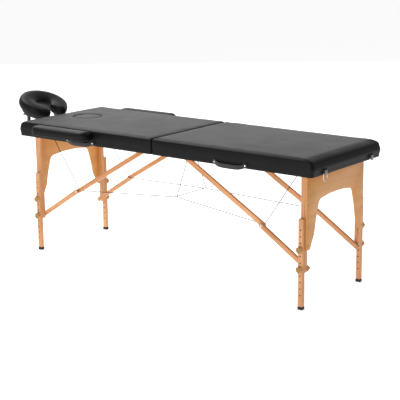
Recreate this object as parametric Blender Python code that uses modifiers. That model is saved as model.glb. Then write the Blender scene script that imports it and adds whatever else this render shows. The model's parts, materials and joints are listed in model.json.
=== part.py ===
"""Portable massage table: two padded halves on a folding wooden frame.

The two halves meet at a fold line and close like a suitcase on a long hinge under it.
Each half has a pair of wooden legs with height extensions, tied by an arched plywood
panel, and two folding side braces.  A face cradle plugs into the head end, an armrest
plugs into each side of the head half, and draw latches on the foot end hold it shut.

x runs along the table from the head (-x) to the foot (+x), y across it and z up.
All coordinates below are measured from the floor straight under the fold line.
"""

import math

import bmesh
import bpy
from mathutils import Matrix

# Table top
TABLE_LENGTH = 1.850
TABLE_WIDTH = 0.610
TOP_HEIGHT = 0.714
SIDE_DEPTH = 0.079
HALF_GAP = 0.0015
COVER_THICKNESS = 0.0015
DECK_THICKNESS = 0.004
RAIL_DEPTH = 0.040
SIDE_RAIL_THICKNESS = 0.015
END_RAIL_THICKNESS = 0.020
OUTER_CORNER_RADIUS = 0.030
FOLD_CORNER_RADIUS = 0.014
TOP_EDGE_RADIUS = 0.010
FIT = 0.0003

# Fold hinge
HINGE_DROP = 0.005
HINGE_LENGTH = 0.400
HINGE_KNUCKLES = 7
KNUCKLE_RADIUS = 0.004
PIN_RADIUS = 0.0018
LEAF_REACH = 0.030
LEAF_THICKNESS = 0.002

# Legs
LEG_X = 0.846
LEG_WIDTH = 0.024
LEG_THICKNESS = 0.020
LEG_INNER_Y = 0.2295
LEG_END_Z = 0.175
EXTENSION_INNER_Y = 0.250
EXTENSION_TOP_Z = 0.430
HOLE_PITCH = 0.031
LOWEST_HOLE_Z = 0.069
HOLE_COUNT = 11
LOWER_KNOB_HOLE = 4
UPPER_KNOB_HOLE = 7
RUBBER_FOOT_HEIGHT = 0.014
PIVOT_RADIUS = 0.004
STUD_RADIUS = 0.003
BORE_CLEARANCE = 0.0003
KNOB_RADIUS = 0.0160
KNOB_LOBE_DEPTH = 0.0014
KNOB_LOBES = 7
KNOB_THICKNESS = 0.0155

# Arched end panels
PANEL_THICKNESS = 0.008
PANEL_HALF_WIDTH = 0.2495
PANEL_TOP_Z = 0.630
PANEL_TIP_Z = 0.278
ARCH_TOP_Z = 0.513

# Side braces
BRACE_WIDTH = 0.022
BRACE_THICKNESS = 0.0145
UPPER_BRACE_INNER_Y = 0.1995
LOWER_BRACE_INNER_Y = 0.2145
BRACE_ROOT_X = 0.080
ELBOW_RISE = 0.008
LOWER_BRACE_TAIL = 0.018

# Fittings on the table top
FACE_HOLE_X = -0.715
FACE_HOLE_HALF_LENGTH = 0.080
FACE_HOLE_HALF_WIDTH = 0.076
PLUG_CLEARANCE = 0.0012
HANDLE_X = 0.478
HANDLE_SPAN = 0.176
HANDLE_Z = 0.647
HANDLE_CAP_RADIUS = 0.012
HANDLE_CAP_DEPTH = 0.006
STRAP_WIDTH = 0.020
STRAP_THICKNESS = 0.003
STRAP_BULGE = 0.011
STRAP_SAG = 0.016
LATCH_Y = 0.205
LATCH_AXLE_X = 0.9325
LATCH_AXLE_Z = 0.655
LATCH_PLATE_THICKNESS = 0.0022
LATCH_LEVER_WIDTH = 0.022
LOOP_HALF_WIDTH = 0.0152
LOOP_DROP = 0.0385
STRIKE_BOTTOM_Z = 0.640
STRIKE_HEIGHT = 0.024
STRIKE_SHELF_Z = 0.651
STRIKE_THICKNESS = 0.002
LATCH_AXLE_RADIUS = 0.0015
LOOP_X = 0.9322
LOOP_Z = 0.644
LOOP_WIRE_RADIUS = 0.0011

# Armrests
ARMREST_X = -0.578
ARMREST_LENGTH = 0.386
ARMREST_WIDTH = 0.075
ARMREST_BOTTOM_Z = 0.662
ARMREST_TOP_Z = 0.712
PEG_RADIUS = 0.0045
PEG_Z = 0.667
PEG_SPACING = 0.160

# Face cradle
CRADLE_TILT = math.radians(24.0)
CRADLE_AXLE_X = -1.100
CRADLE_AXLE_Z = 0.703
ROD_Y = 0.070
ROD_RADIUS = 0.006
ROD_Z = 0.655
ROD_INSIDE = 0.125
AXLE_RADIUS = 0.003
CUSHION_CENTRE_X = 0.0247
CUSHION_CENTRE_Z = 0.0624
CUSHION_RADIUS_X = 0.088
CUSHION_RADIUS_Y = 0.106
CUSHION_TUBE_RADIUS = 0.042
CUSHION_HALF_HEIGHT = 0.035
PLATFORM_THICKNESS = 0.009
PLATFORM_BOTTOM_Z = 0.018
CRADLE_OPENING = math.radians(32.0)

# Stabilising cables
CABLE_RADIUS = 0.001
CABLE_NODE_Y = 0.120
CABLE_NODE_Z = 0.385

# Distance that brings the middle of the whole object, cradle to latches, over the origin
FOLD_X = 0.1178

FRAME_BOTTOM = TOP_HEIGHT - SIDE_DEPTH
FRAME_TOP = FRAME_BOTTOM + RAIL_DEPTH
FOAM_BOTTOM = FRAME_TOP + 2 * FIT + DECK_THICKNESS
FOLD_AXIS_Z = FRAME_BOTTOM - HINGE_DROP
PIVOT_Z = FRAME_TOP - 0.0215
HALF_WIDTH = TABLE_WIDTH / 2
END_X = TABLE_LENGTH / 2
INSIDE_COVER = COVER_THICKNESS + FIT
RAIL_INNER_Y = HALF_WIDTH - INSIDE_COVER - SIDE_RAIL_THICKNESS
LOWER_KNOB_Z = LOWEST_HOLE_Z + LOWER_KNOB_HOLE * HOLE_PITCH
UPPER_KNOB_Z = LOWEST_HOLE_Z + UPPER_KNOB_HOLE * HOLE_PITCH

HALVES = {"head": -1, "foot": 1}
SIDES = {"front": -1, "back": 1}

# Colour, roughness and metallic value of each material
FINISHES = {
    "beech": ((0.79, 0.52, 0.30), 0.45, 0.0),
    "plywood": ((0.68, 0.40, 0.18), 0.45, 0.0),
    "deck_board": ((0.55, 0.42, 0.28), 0.70, 0.0),
    "black_leather": ((0.030, 0.030, 0.032), 0.42, 0.0),
    "foam": ((0.75, 0.72, 0.60), 0.95, 0.0),
    "black_webbing": ((0.015, 0.015, 0.016), 0.80, 0.0),
    "black_plastic": ((0.018, 0.018, 0.018), 0.40, 0.0),
    "rubber": ((0.012, 0.012, 0.012), 0.80, 0.0),
    "knob_wood": ((0.62, 0.40, 0.16), 0.35, 0.0),
    "steel": ((0.60, 0.60, 0.62), 0.30, 1.0),
    "chrome": ((0.80, 0.80, 0.82), 0.10, 1.0),
    "aluminium": ((0.66, 0.67, 0.69), 0.35, 1.0),
}


# ---------------------------------------------------------------- scene helpers


def clear_scene():
    for obj in list(bpy.data.objects):
        bpy.data.objects.remove(obj, do_unlink=True)


def make_collection(name):
    collection = bpy.data.collections.new(name)
    bpy.context.scene.collection.children.link(collection)
    return collection


def make_materials():
    materials = {}
    for name, (colour, roughness, metallic) in FINISHES.items():
        material = bpy.data.materials.new(name)
        material.use_nodes = True
        shader = material.node_tree.nodes["Principled BSDF"]
        shader.inputs["Base Color"].default_value = (*colour, 1.0)
        shader.inputs["Roughness"].default_value = roughness
        shader.inputs["Metallic"].default_value = metallic
        material.diffuse_color = (*colour, 1.0)
        materials[name] = material
    return materials


clear_scene()
PARTS = make_collection("portable_massage_table")
CUTTERS = make_collection("cutters")
MATERIALS = make_materials()
FOLD_AXIS = bpy.data.objects.new("fold_axis", None)
PARTS.objects.link(FOLD_AXIS)
FOLD_AXIS.location = (FOLD_X, 0.0, FOLD_AXIS_Z)
FROM_FLOOR = Matrix.Translation((0.0, 0.0, -FOLD_AXIS_Z))


def add_object(name, mesh, location=(0, 0, 0), rotation=(0, 0, 0), material=None, parent=None):
    """A part if it has a material, or else a tool for a Boolean."""
    obj = bpy.data.objects.new(name, mesh)
    if material:
        PARTS.objects.link(obj)
        mesh.materials.clear()
        mesh.materials.append(MATERIALS[material])
    else:
        CUTTERS.objects.link(obj)
        obj.hide_render = True
        obj.display_type = "WIRE"
    obj.parent = parent or FOLD_AXIS
    if parent is None:
        obj.matrix_parent_inverse = FROM_FLOOR
    obj.location = location
    obj.rotation_euler = rotation
    return obj


def shade_round(obj):
    obj.data.shade_smooth()
    obj.data.set_sharp_from_angle(angle=math.radians(35))


def box(name, low, high, origin=(0, 0, 0), **place):
    """A block between two corners; its object sits at the origin point given."""
    mesh = bpy.data.meshes.new(name)
    bm = bmesh.new()
    bmesh.ops.create_cube(bm, size=1.0)
    for vert in bm.verts:
        for axis in range(3):
            a, b = sorted((low[axis], high[axis]))
            vert.co[axis] = (a + b) / 2 + vert.co[axis] * (b - a) - origin[axis]
    bm.to_mesh(mesh)
    bm.free()
    return add_object(name, mesh, location=origin, **place)


def cylinder(name, radius, length, location, axis="Z", sides=24, **place):
    """A cylinder centred on location and running along the named axis."""
    mesh = bpy.data.meshes.new(name)
    bm = bmesh.new()
    bmesh.ops.create_cone(
        bm, cap_ends=True, segments=sides, radius1=radius, radius2=radius, depth=length
    )
    bm.to_mesh(mesh)
    bm.free()
    rotation = {"X": (0, math.pi / 2, 0), "Y": (math.pi / 2, 0, 0), "Z": (0, 0, 0)}[axis]
    obj = add_object(name, mesh, location=location, rotation=rotation, **place)
    shade_round(obj)
    return obj


def mesh_from_curve(curve_object, name):
    """The evaluated mesh of a curve, with its caps welded on and flat faces merged."""
    bpy.context.view_layer.update()
    graph = bpy.context.evaluated_depsgraph_get()
    mesh = bpy.data.meshes.new_from_object(curve_object.evaluated_get(graph))
    mesh.name = name
    bm = bmesh.new()
    bm.from_mesh(mesh)
    bmesh.ops.remove_doubles(bm, verts=bm.verts, dist=0.00001)
    bmesh.ops.dissolve_limit(bm, angle_limit=0.001, verts=bm.verts, edges=bm.edges)
    bmesh.ops.recalc_face_normals(bm, faces=bm.faces)
    bm.to_mesh(mesh)
    bm.free()
    bpy.data.objects.remove(curve_object, do_unlink=True)
    return mesh


def wire_mesh(name, points, radius, closed=False, bevel_resolution=2):
    """A round wire through a list of points."""
    curve = bpy.data.curves.new(name, "CURVE")
    curve.dimensions = "3D"
    curve.bevel_depth = radius
    curve.bevel_resolution = bevel_resolution
    curve.use_fill_caps = True
    spline = curve.splines.new("POLY")
    spline.points.add(len(points) - 1)
    for point, co in zip(spline.points, points):
        point.co = (*co, 1.0)
    spline.use_cyclic_u = closed
    curve_object = bpy.data.objects.new(name + "_route", curve)
    CUTTERS.objects.link(curve_object)
    return mesh_from_curve(curve_object, name)


def plate(name, outline, thickness, plane="XY", **place):
    """A flat outline given thickness both ways from its own plane, XY, XZ or YZ."""
    curve = bpy.data.curves.new(name, "CURVE")
    curve.dimensions = "2D"
    curve.fill_mode = "BOTH"
    curve.extrude = thickness / 2
    spline = curve.splines.new("POLY")
    spline.points.add(len(outline) - 1)
    for point, (a, b) in zip(spline.points, outline):
        point.co = (a, b, 0.0, 1.0)
    spline.use_cyclic_u = True
    curve_object = bpy.data.objects.new(name + "_outline", curve)
    CUTTERS.objects.link(curve_object)
    mesh = mesh_from_curve(curve_object, name)
    turn = {
        "XY": (0, 0, 0),
        "XZ": (math.pi / 2, 0, 0),
        "YZ": (math.pi / 2, 0, math.pi / 2),
    }[plane]
    return add_object(name, mesh, rotation=turn, **place)


def modify(obj, other, operation):
    modifier = obj.modifiers.new(other.name, "BOOLEAN")
    modifier.operation = operation
    modifier.object = other
    modifier.solver = "EXACT"


def cut(obj, *tools):
    for tool in tools:
        modify(obj, tool, "DIFFERENCE")


def join(obj, *tools):
    for tool in tools:
        modify(obj, tool, "UNION")


# ---------------------------------------------------------------- outlines


def arc(centre, radius_a, radius_b, start, end, steps):
    """Points on an elliptical arc, both ends included."""
    points = []
    for i in range(steps + 1):
        angle = start + (end - start) * i / steps
        points.append(
            (centre[0] + radius_a * math.cos(angle), centre[1] + radius_b * math.sin(angle))
        )
    return points


def oval(centre, radius_a, radius_b, steps=32):
    return arc(centre, radius_a, radius_b, 0.0, 2 * math.pi, steps)[:-1]


def half_outline(side, inset):
    """One half of the table from above: tight corners at the fold, larger ones at the end."""
    near = HALF_GAP + inset
    far = END_X - inset
    half = HALF_WIDTH - inset
    small = FOLD_CORNER_RADIUS - inset
    large = OUTER_CORNER_RADIUS - inset
    quarter = math.pi / 2
    points = []
    points += arc((near + small, small - half), small, small, 2 * quarter, 3 * quarter, 4)
    points += arc((far - large, large - half), large, large, 3 * quarter, 4 * quarter, 6)
    points += arc((far - large, half - large), large, large, 0, quarter, 6)
    points += arc((near + small, half - small), small, small, quarter, 2 * quarter, 4)
    return [(side * x, y) for x, y in points]


def bar_outline(start, end, width, square_end):
    """A bar along x, round about its start and either round about its end or cut square."""
    half = width / 2
    quarter = math.pi / 2
    points = arc((start, 0), half, half, quarter, 3 * quarter, 8)
    if square_end:
        points += [(end, -half), (end, half)]
    else:
        points += arc((end, 0), half, half, -quarter, quarter, 8)
    return points


# ---------------------------------------------------------------- padded halves


def make_frame(half, side):
    """The rails of one half, with the blocks and pins that the legs and braces turn on."""
    middle_z = (FRAME_BOTTOM + FRAME_TOP) / 2
    frame = plate(
        half + "_frame",
        half_outline(side, INSIDE_COVER),
        RAIL_DEPTH,
        location=(0, 0, middle_z),
        material="beech",
    )
    near = HALF_GAP + INSIDE_COVER + END_RAIL_THICKNESS
    far = END_X - INSIDE_COVER - END_RAIL_THICKNESS
    inside = box(
        half + "_frame_inside",
        (side * near, -RAIL_INNER_Y, FRAME_BOTTOM - 0.01),
        (side * far, RAIL_INNER_Y, FRAME_TOP + 0.01),
    )
    cut(frame, inside)
    for hand, sign in SIDES.items():
        place = f"{half}_{hand}"
        add_pivot(frame, place + "_leg", side * LEG_X, sign, LEG_INNER_Y, LEG_THICKNESS)
        add_pivot(
            frame,
            place + "_brace",
            side * BRACE_ROOT_X,
            sign,
            UPPER_BRACE_INNER_Y,
            BRACE_THICKNESS,
        )
    return frame


def add_pivot(frame, name, x, sign, bar_y, bar_thickness):
    """A block on the inside of a side rail, with the pin that a leg or brace turns on.

    bar_y is the bar's inner face; the pin's end stands a little proud of it.
    """
    block_half = 0.014
    block_y = bar_y + bar_thickness + FIT
    pin_end_y = bar_y - 0.002
    block = box(
        name + "_block",
        (x - block_half, sign * block_y, PIVOT_Z - block_half),
        (x + block_half, sign * (RAIL_INNER_Y + 0.002), FRAME_TOP - 0.0005),
    )
    pin_length = block_y + 0.010 - pin_end_y
    pin = cylinder(
        name + "_pin",
        PIVOT_RADIUS,
        pin_length,
        (x, sign * (pin_end_y + pin_length / 2), PIVOT_Z),
        axis="Y",
    )
    join(frame, block, pin)


def make_deck(half, side):
    """The thin board that closes the frame under the foam."""
    return plate(
        half + "_deck",
        half_outline(side, INSIDE_COVER),
        DECK_THICKNESS,
        location=(0, 0, FRAME_TOP + FIT + DECK_THICKNESS / 2),
        material="deck_board",
    )


def round_top_edge(mesh, radius, keep_bottom):
    """Rounds the rim of the top face; the bottom face is taken off for a shell."""
    bm = bmesh.new()
    bm.from_mesh(mesh)
    top = max(bm.faces, key=lambda face: face.calc_center_median().z)
    bottom = min(bm.faces, key=lambda face: face.calc_center_median().z)
    if not keep_bottom:
        bmesh.ops.delete(bm, geom=[bottom], context="FACES_ONLY")
    bmesh.ops.bevel(
        bm, geom=list(top.edges), offset=radius, segments=3, profile=0.5, affect="EDGES"
    )
    bm.to_mesh(mesh)
    bm.free()


def make_foam(half, side):
    foam_top = TOP_HEIGHT - INSIDE_COVER
    foam = plate(
        half + "_foam",
        half_outline(side, INSIDE_COVER),
        foam_top - FOAM_BOTTOM,
        location=(0, 0, (foam_top + FOAM_BOTTOM) / 2),
        material="foam",
    )
    round_top_edge(foam.data, TOP_EDGE_RADIUS - INSIDE_COVER, keep_bottom=True)
    return foam


def make_cover(half, side):
    """The upholstery: one skin over the foam, down the rails to their lower edge."""
    cover = plate(
        half + "_cover",
        half_outline(side, 0.0),
        SIDE_DEPTH,
        location=(0, 0, (FRAME_BOTTOM + TOP_HEIGHT) / 2),
        material="black_leather",
    )
    round_top_edge(cover.data, TOP_EDGE_RADIUS, keep_bottom=False)
    shell = cover.modifiers.new("skin", "SOLIDIFY")
    shell.thickness = COVER_THICKNESS
    shell.offset = -1
    shell.use_even_offset = True
    shade_round(cover)
    return cover


def make_face_hole(deck, foam, cover):
    """The breathing hole: wide through the pad, narrower through the deck as a ledge."""
    ledge = 0.010
    wide = plate(
        "face_hole_in_pad",
        oval((0, 0), FACE_HOLE_HALF_LENGTH, FACE_HOLE_HALF_WIDTH),
        0.060,
        location=(FACE_HOLE_X, 0, FOAM_BOTTOM + 0.0295),
    )
    narrow = plate(
        "face_hole_in_deck",
        oval((0, 0), FACE_HOLE_HALF_LENGTH - ledge, FACE_HOLE_HALF_WIDTH - ledge),
        0.030,
        location=(FACE_HOLE_X, 0, FRAME_TOP),
    )
    cut(deck, narrow)
    cut(foam, wide)
    cut(cover, wide)


def make_face_hole_plug():
    bottom = FOAM_BOTTOM + FIT
    height = TOP_HEIGHT + 0.0015 - bottom
    plug = plate(
        "face_hole_plug",
        oval(
            (0, 0),
            FACE_HOLE_HALF_LENGTH - PLUG_CLEARANCE,
            FACE_HOLE_HALF_WIDTH - PLUG_CLEARANCE,
        ),
        height,
        location=(FACE_HOLE_X, 0, bottom + height / 2),
        material="black_leather",
    )
    round_top_edge(plug.data, 0.004, keep_bottom=True)
    shade_round(plug)


def make_handle(half, side):
    """A webbing carrying strap, slack between the two round caps that hold its ends."""
    steps = 12
    centre_y = -(HALF_WIDTH + FIT + HANDLE_CAP_DEPTH / 2)
    mesh = bpy.data.meshes.new(half + "_handle")
    bm = bmesh.new()
    bmesh.ops.create_cube(bm, size=1.0)
    along = [edge for edge in bm.edges if abs(edge.verts[0].co.x - edge.verts[1].co.x) > 0.5]
    bmesh.ops.subdivide_edges(bm, edges=along, cuts=steps - 1, use_grid_fill=True)
    for vert in bm.verts:
        u = 2 * vert.co.x
        slack = 1 - u * u
        vert.co.x *= HANDLE_SPAN
        vert.co.y = vert.co.y * STRAP_THICKNESS - STRAP_BULGE * slack
        vert.co.z = vert.co.z * STRAP_WIDTH - STRAP_SAG * slack
    bm.to_mesh(mesh)
    bm.free()
    handle = add_object(
        half + "_handle",
        mesh,
        location=(side * HANDLE_X, centre_y, HANDLE_Z),
        material="black_webbing",
    )
    for end in (-1, 1):
        cap = cylinder(
            f"{half}_handle_cap_{end}",
            HANDLE_CAP_RADIUS,
            HANDLE_CAP_DEPTH,
            (side * HANDLE_X + end * HANDLE_SPAN / 2, centre_y, HANDLE_Z),
            axis="Y",
        )
        join(handle, cap)


# ---------------------------------------------------------------- fold hinge


def make_hinge_leaf(half, side, own_knuckles):
    """One leaf of the long hinge: a flat strip rolled round the pin at its knuckles."""
    gap_below_rail = 0.0003
    top = HINGE_DROP - gap_below_rail
    bottom = top - LEAF_THICKNESS
    roll_end = 2 * math.pi + math.asin(bottom / KNUCKLE_RADIUS)
    outline = [(LEAF_REACH, bottom), (LEAF_REACH, top), (0.0, top)]
    outline += arc((0, 0), KNUCKLE_RADIUS, KNUCKLE_RADIUS, math.pi / 2, roll_end, 14)
    leaf = plate(
        half + "_hinge_leaf",
        [(side * x, z) for x, z in outline],
        HINGE_LENGTH,
        plane="XZ",
        location=(0, 0, FOLD_AXIS_Z),
        material="steel",
    )
    pitch = HINGE_LENGTH / HINGE_KNUCKLES
    for i in range(HINGE_KNUCKLES):
        if i in own_knuckles:
            continue
        start = -HINGE_LENGTH / 2 + i * pitch
        notch = box(
            f"{half}_hinge_notch_{i}",
            (-side * 0.010, start - FIT, FOLD_AXIS_Z - 0.010),
            (side * 0.0048, start + pitch + FIT, FOLD_AXIS_Z + 0.010),
        )
        cut(leaf, notch)
    bore = cylinder(
        half + "_hinge_bore",
        PIN_RADIUS + BORE_CLEARANCE,
        HINGE_LENGTH + 0.02,
        (0, 0, FOLD_AXIS_Z),
        axis="Y",
    )
    cut(leaf, bore)


def make_fold_hinge():
    make_hinge_leaf("head", -1, range(0, HINGE_KNUCKLES, 2))
    make_hinge_leaf("foot", 1, range(1, HINGE_KNUCKLES, 2))
    cylinder(
        "hinge_pin",
        PIN_RADIUS,
        HINGE_LENGTH + 0.006,
        (0, 0, FOLD_AXIS_Z),
        axis="Y",
        material="steel",
    )


# ---------------------------------------------------------------- legs


def make_leg(place, side, sign):
    """An upper leg, from its pivot in the frame down past the lower knob."""
    leg = plate(
        place + "_leg",
        bar_outline(0.0, PIVOT_Z - LEG_END_Z, LEG_WIDTH, square_end=True),
        LEG_THICKNESS,
        plane="XZ",
        location=(side * LEG_X, sign * (LEG_INNER_Y + LEG_THICKNESS / 2), PIVOT_Z),
        material="beech",
    )
    leg.rotation_euler = (math.pi / 2, math.pi / 2, 0)
    bores = [(PIVOT_Z, PIVOT_RADIUS), (UPPER_KNOB_Z, STUD_RADIUS), (LOWER_KNOB_Z, STUD_RADIUS)]
    for i, (z, radius) in enumerate(bores):
        bore = cylinder(
            f"{place}_leg_bore_{i}",
            radius + BORE_CLEARANCE,
            0.060,
            (side * LEG_X, sign * (LEG_INNER_Y + LEG_THICKNESS / 2), z),
            axis="Y",
        )
        cut(leg, bore)


def make_extension(place, side, sign):
    """The sliding lower leg; its row of height holes is joined into one running slot."""
    bottom = RUBBER_FOOT_HEIGHT + FIT
    middle_y = sign * (EXTENSION_INNER_Y + LEG_THICKNESS / 2)
    origin = (side * LEG_X, middle_y, bottom)
    half = LEG_WIDTH / 2
    extension = box(
        place + "_extension",
        (side * LEG_X - half, sign * EXTENSION_INNER_Y, bottom),
        (side * LEG_X + half, sign * (EXTENSION_INNER_Y + LEG_THICKNESS), EXTENSION_TOP_Z),
        origin=origin,
        material="beech",
    )
    radius = STUD_RADIUS + BORE_CLEARANCE
    run = (HOLE_COUNT - 1) * HOLE_PITCH
    outline = arc((0, 0), radius, radius, math.pi, 2 * math.pi, 8)
    outline += arc((0, run), radius, radius, 0, math.pi, 8)
    slot = plate(
        place + "_extension_slot",
        outline,
        0.060,
        plane="XZ",
        location=(side * LEG_X, middle_y, LOWEST_HOLE_Z),
    )
    cut(extension, slot)
    proud = 0.0008
    box(
        place + "_rubber_foot",
        (side * LEG_X - half - proud, middle_y - LEG_THICKNESS / 2 - proud, 0.0),
        (side * LEG_X + half + proud, middle_y + LEG_THICKNESS / 2 + proud, RUBBER_FOOT_HEIGHT),
        origin=(side * LEG_X, middle_y, 0.0),
        material="rubber",
    )


def knob_outline():
    """A star grip: a circle whose radius swells once for each finger lobe."""
    points = []
    steps = KNOB_LOBES * 6
    for i in range(steps):
        angle = 2 * math.pi * i / steps
        radius = KNOB_RADIUS + KNOB_LOBE_DEPTH * math.cos(KNOB_LOBES * angle)
        points.append((radius * math.cos(angle), radius * math.sin(angle)))
    return points


def make_knob(name, side, sign, z, stud_end_y):
    """A star knob and its clamping stud, which runs in to stud_end_y."""
    face_y = EXTENSION_INNER_Y + LEG_THICKNESS + FIT
    middle_y = face_y + KNOB_THICKNESS / 2
    knob = plate(
        name,
        knob_outline(),
        KNOB_THICKNESS,
        plane="XZ",
        location=(side * LEG_X, sign * middle_y, z),
        material="knob_wood",
    )
    stud_length = middle_y - stud_end_y
    stud = cylinder(
        name + "_stud",
        STUD_RADIUS,
        stud_length,
        (side * LEG_X, sign * (stud_end_y + stud_length / 2), z),
        axis="Y",
        sides=16,
    )
    join(knob, stud)


def panel_outline():
    """Half of the arched panel as (y, z) points, from the middle of its top edge outward."""
    tip_radius = 0.018
    corner = (0.118, 0.468)
    corner_radius = (0.036, 0.036)
    tip_centre = (PANEL_HALF_WIDTH - tip_radius, PANEL_TIP_Z + tip_radius)
    points = [(0.0, PANEL_TOP_Z), (PANEL_HALF_WIDTH, PANEL_TOP_Z)]
    points += arc(tip_centre, tip_radius, tip_radius, 0.0, -math.pi * 0.93, 9)
    points += [(0.186, 0.345), (0.170, 0.420)]
    points += arc(corner, *corner_radius, math.radians(12), math.radians(80), 6)
    points += [(0.060, ARCH_TOP_Z - 0.0015), (0.0, ARCH_TOP_Z)]
    return points


def make_end_panel(half, side):
    """The arched plywood panel screwed across the outer faces of a pair of legs."""
    right = panel_outline()
    left = [(-y, z) for y, z in reversed(right[1:-1])]
    x = LEG_X + LEG_WIDTH / 2 + FIT + PANEL_THICKNESS / 2
    plate(
        half + "_end_panel",
        right + left,
        PANEL_THICKNESS,
        plane="YZ",
        location=(side * x, 0, 0),
        material="plywood",
    )


# ---------------------------------------------------------------- braces and cables


def brace_geometry():
    """Lengths of the two brace bars and the elbow's place (x from the fold, z).

    Folded flat, the elbow, the lower pivot and the root lie in one line, so the bars'
    difference is the distance between the root and the folded lower pivot.  Opened, the
    elbow stands slightly above the straight line, so the bars' sum is a little longer.
    """
    reach = PIVOT_Z - LOWER_KNOB_Z
    span = math.hypot(LEG_X - BRACE_ROOT_X, reach)
    folded = LEG_X - reach - BRACE_ROOT_X
    lower = (span - folded) / 2
    upper = (span + folded) / 2
    slack = ELBOW_RISE**2 / 4 * (1 / lower + 1 / upper)
    lower += slack
    upper += slack
    at_root = math.acos((upper**2 + span**2 - lower**2) / (2 * upper * span))
    angle = at_root - math.atan2(reach, LEG_X - BRACE_ROOT_X)
    elbow = (BRACE_ROOT_X + upper * math.cos(angle), PIVOT_Z + upper * math.sin(angle))
    return upper, lower, elbow


def make_braces(place, side, sign):
    upper, lower, elbow = brace_geometry()
    down = math.atan2(PIVOT_Z - elbow[1], elbow[0] - BRACE_ROOT_X)
    upper_y = sign * (UPPER_BRACE_INNER_Y + BRACE_THICKNESS / 2)
    upper_brace = plate(
        place + "_upper_brace",
        bar_outline(0.0, upper, BRACE_WIDTH, square_end=False),
        BRACE_THICKNESS,
        plane="XZ",
        location=(side * BRACE_ROOT_X, upper_y, PIVOT_Z),
        material="beech",
    )
    upper_turn = down if side > 0 else math.pi - down
    upper_brace.rotation_euler = (math.pi / 2, upper_turn, 0)
    root_bore = cylinder(
        place + "_upper_brace_bore",
        PIVOT_RADIUS + BORE_CLEARANCE,
        0.05,
        (side * BRACE_ROOT_X, upper_y, PIVOT_Z),
        axis="Y",
    )
    rivet = cylinder(
        place + "_elbow_rivet",
        0.006,
        0.006,
        (side * elbow[0], sign * (UPPER_BRACE_INNER_Y + 0.001), elbow[1]),
        axis="Y",
        sides=16,
    )
    cut(upper_brace, root_bore)
    join(upper_brace, rivet)

    lower_y = sign * (LOWER_BRACE_INNER_Y + BRACE_THICKNESS / 2)
    rise = math.atan2(elbow[1] - LOWER_KNOB_Z, LEG_X - elbow[0])
    lower_brace = plate(
        place + "_lower_brace",
        bar_outline(-lower, LOWER_BRACE_TAIL, BRACE_WIDTH, square_end=True),
        BRACE_THICKNESS,
        plane="XZ",
        location=(side * LEG_X, lower_y, LOWER_KNOB_Z),
        material="beech",
    )
    lower_turn = rise if side > 0 else math.pi - rise
    lower_brace.rotation_euler = (math.pi / 2, lower_turn, 0)
    knob_bore = cylinder(
        place + "_lower_brace_bore",
        STUD_RADIUS + BORE_CLEARANCE,
        0.05,
        (side * LEG_X, lower_y, LOWER_KNOB_Z),
        axis="Y",
    )
    cut(lower_brace, knob_bore)


def make_cable(half, side, through_middle):
    """One wire from the leg pivots by both elbows to the two knots under the fold.

    The foot half's wire rises between the knots to the eye under the fold rail; the head
    half's wire runs straight across from knot to knot.
    """
    elbow = brace_geometry()[2]
    inner_y = UPPER_BRACE_INNER_Y - 0.002 - 2 * CABLE_RADIUS
    knot_x = 0.004
    eye = (0.012, 0.010, FRAME_BOTTOM - 0.006)
    route = [
        (LEG_X - 0.026, inner_y, FRAME_TOP - 0.004),
        (elbow[0], inner_y, elbow[1]),
        (knot_x, CABLE_NODE_Y, CABLE_NODE_Z),
    ]
    if through_middle:
        route.append(eye)
    points = [(side * x, -y, z) for x, y, z in route]
    points += [(side * x, y, z) for x, y, z in reversed(route)]
    mesh = wire_mesh(half + "_cable", points, CABLE_RADIUS)
    cable = add_object(half + "_cable", mesh, material="steel")
    shade_round(cable)


# ---------------------------------------------------------------- latches


def make_latch_base(hand, sign):
    """A latch's base plate, with two ears and the axle for its lever."""
    y = sign * LATCH_Y
    face_x = END_X + FIT
    base = box(
        f"latch_base_{hand}",
        (face_x, y - 0.015, LATCH_AXLE_Z - 0.017),
        (face_x + LATCH_PLATE_THICKNESS, y + 0.015, LATCH_AXLE_Z + 0.011),
        material="black_plastic",
    )
    for end in (-1, 1):
        ear = box(
            f"latch_ear_{hand}_{end}",
            (face_x + 0.001, y + end * 0.0122, LATCH_AXLE_Z - 0.005),
            (LATCH_AXLE_X + 0.004, y + end * 0.0136, LATCH_AXLE_Z + 0.005),
        )
        join(base, ear)
    axle = cylinder(
        f"latch_axle_{hand}",
        LATCH_AXLE_RADIUS,
        0.026,
        (LATCH_AXLE_X, y, LATCH_AXLE_Z),
        axis="Y",
        sides=16,
    )
    join(base, axle)


def make_latch_lever(hand, sign):
    """The thumb lever of a draw latch, with a lug that carries the wire loop."""
    y = sign * LATCH_Y
    lug_half = 0.0033
    lever = cylinder(
        f"latch_lever_{hand}",
        0.0032,
        0.0236,
        (LATCH_AXLE_X, y, LATCH_AXLE_Z),
        axis="Y",
        material="chrome",
    )
    blade = box(
        f"latch_blade_{hand}",
        (LATCH_AXLE_X + 0.0025, y - LATCH_LEVER_WIDTH / 2, LATCH_AXLE_Z - 0.023),
        (LATCH_AXLE_X + 0.0047, y + LATCH_LEVER_WIDTH / 2, LATCH_AXLE_Z + 0.002),
    )
    lug = box(
        f"latch_lug_{hand}",
        (LOOP_X - 0.0027, y - 0.008, LOOP_Z - lug_half),
        (LATCH_AXLE_X + 0.0030, y + 0.008, LOOP_Z + lug_half),
    )
    axle_bore = cylinder(
        f"latch_axle_bore_{hand}",
        LATCH_AXLE_RADIUS + BORE_CLEARANCE,
        0.040,
        (LATCH_AXLE_X, y, LATCH_AXLE_Z),
        axis="Y",
        sides=16,
    )
    loop_bore = cylinder(
        f"latch_loop_bore_{hand}",
        LOOP_WIRE_RADIUS + 0.0004,
        0.040,
        (LOOP_X, y, LOOP_Z),
        axis="Y",
        sides=16,
    )
    join(lever, blade, lug)
    cut(lever, axle_bore, loop_bore)


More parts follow.
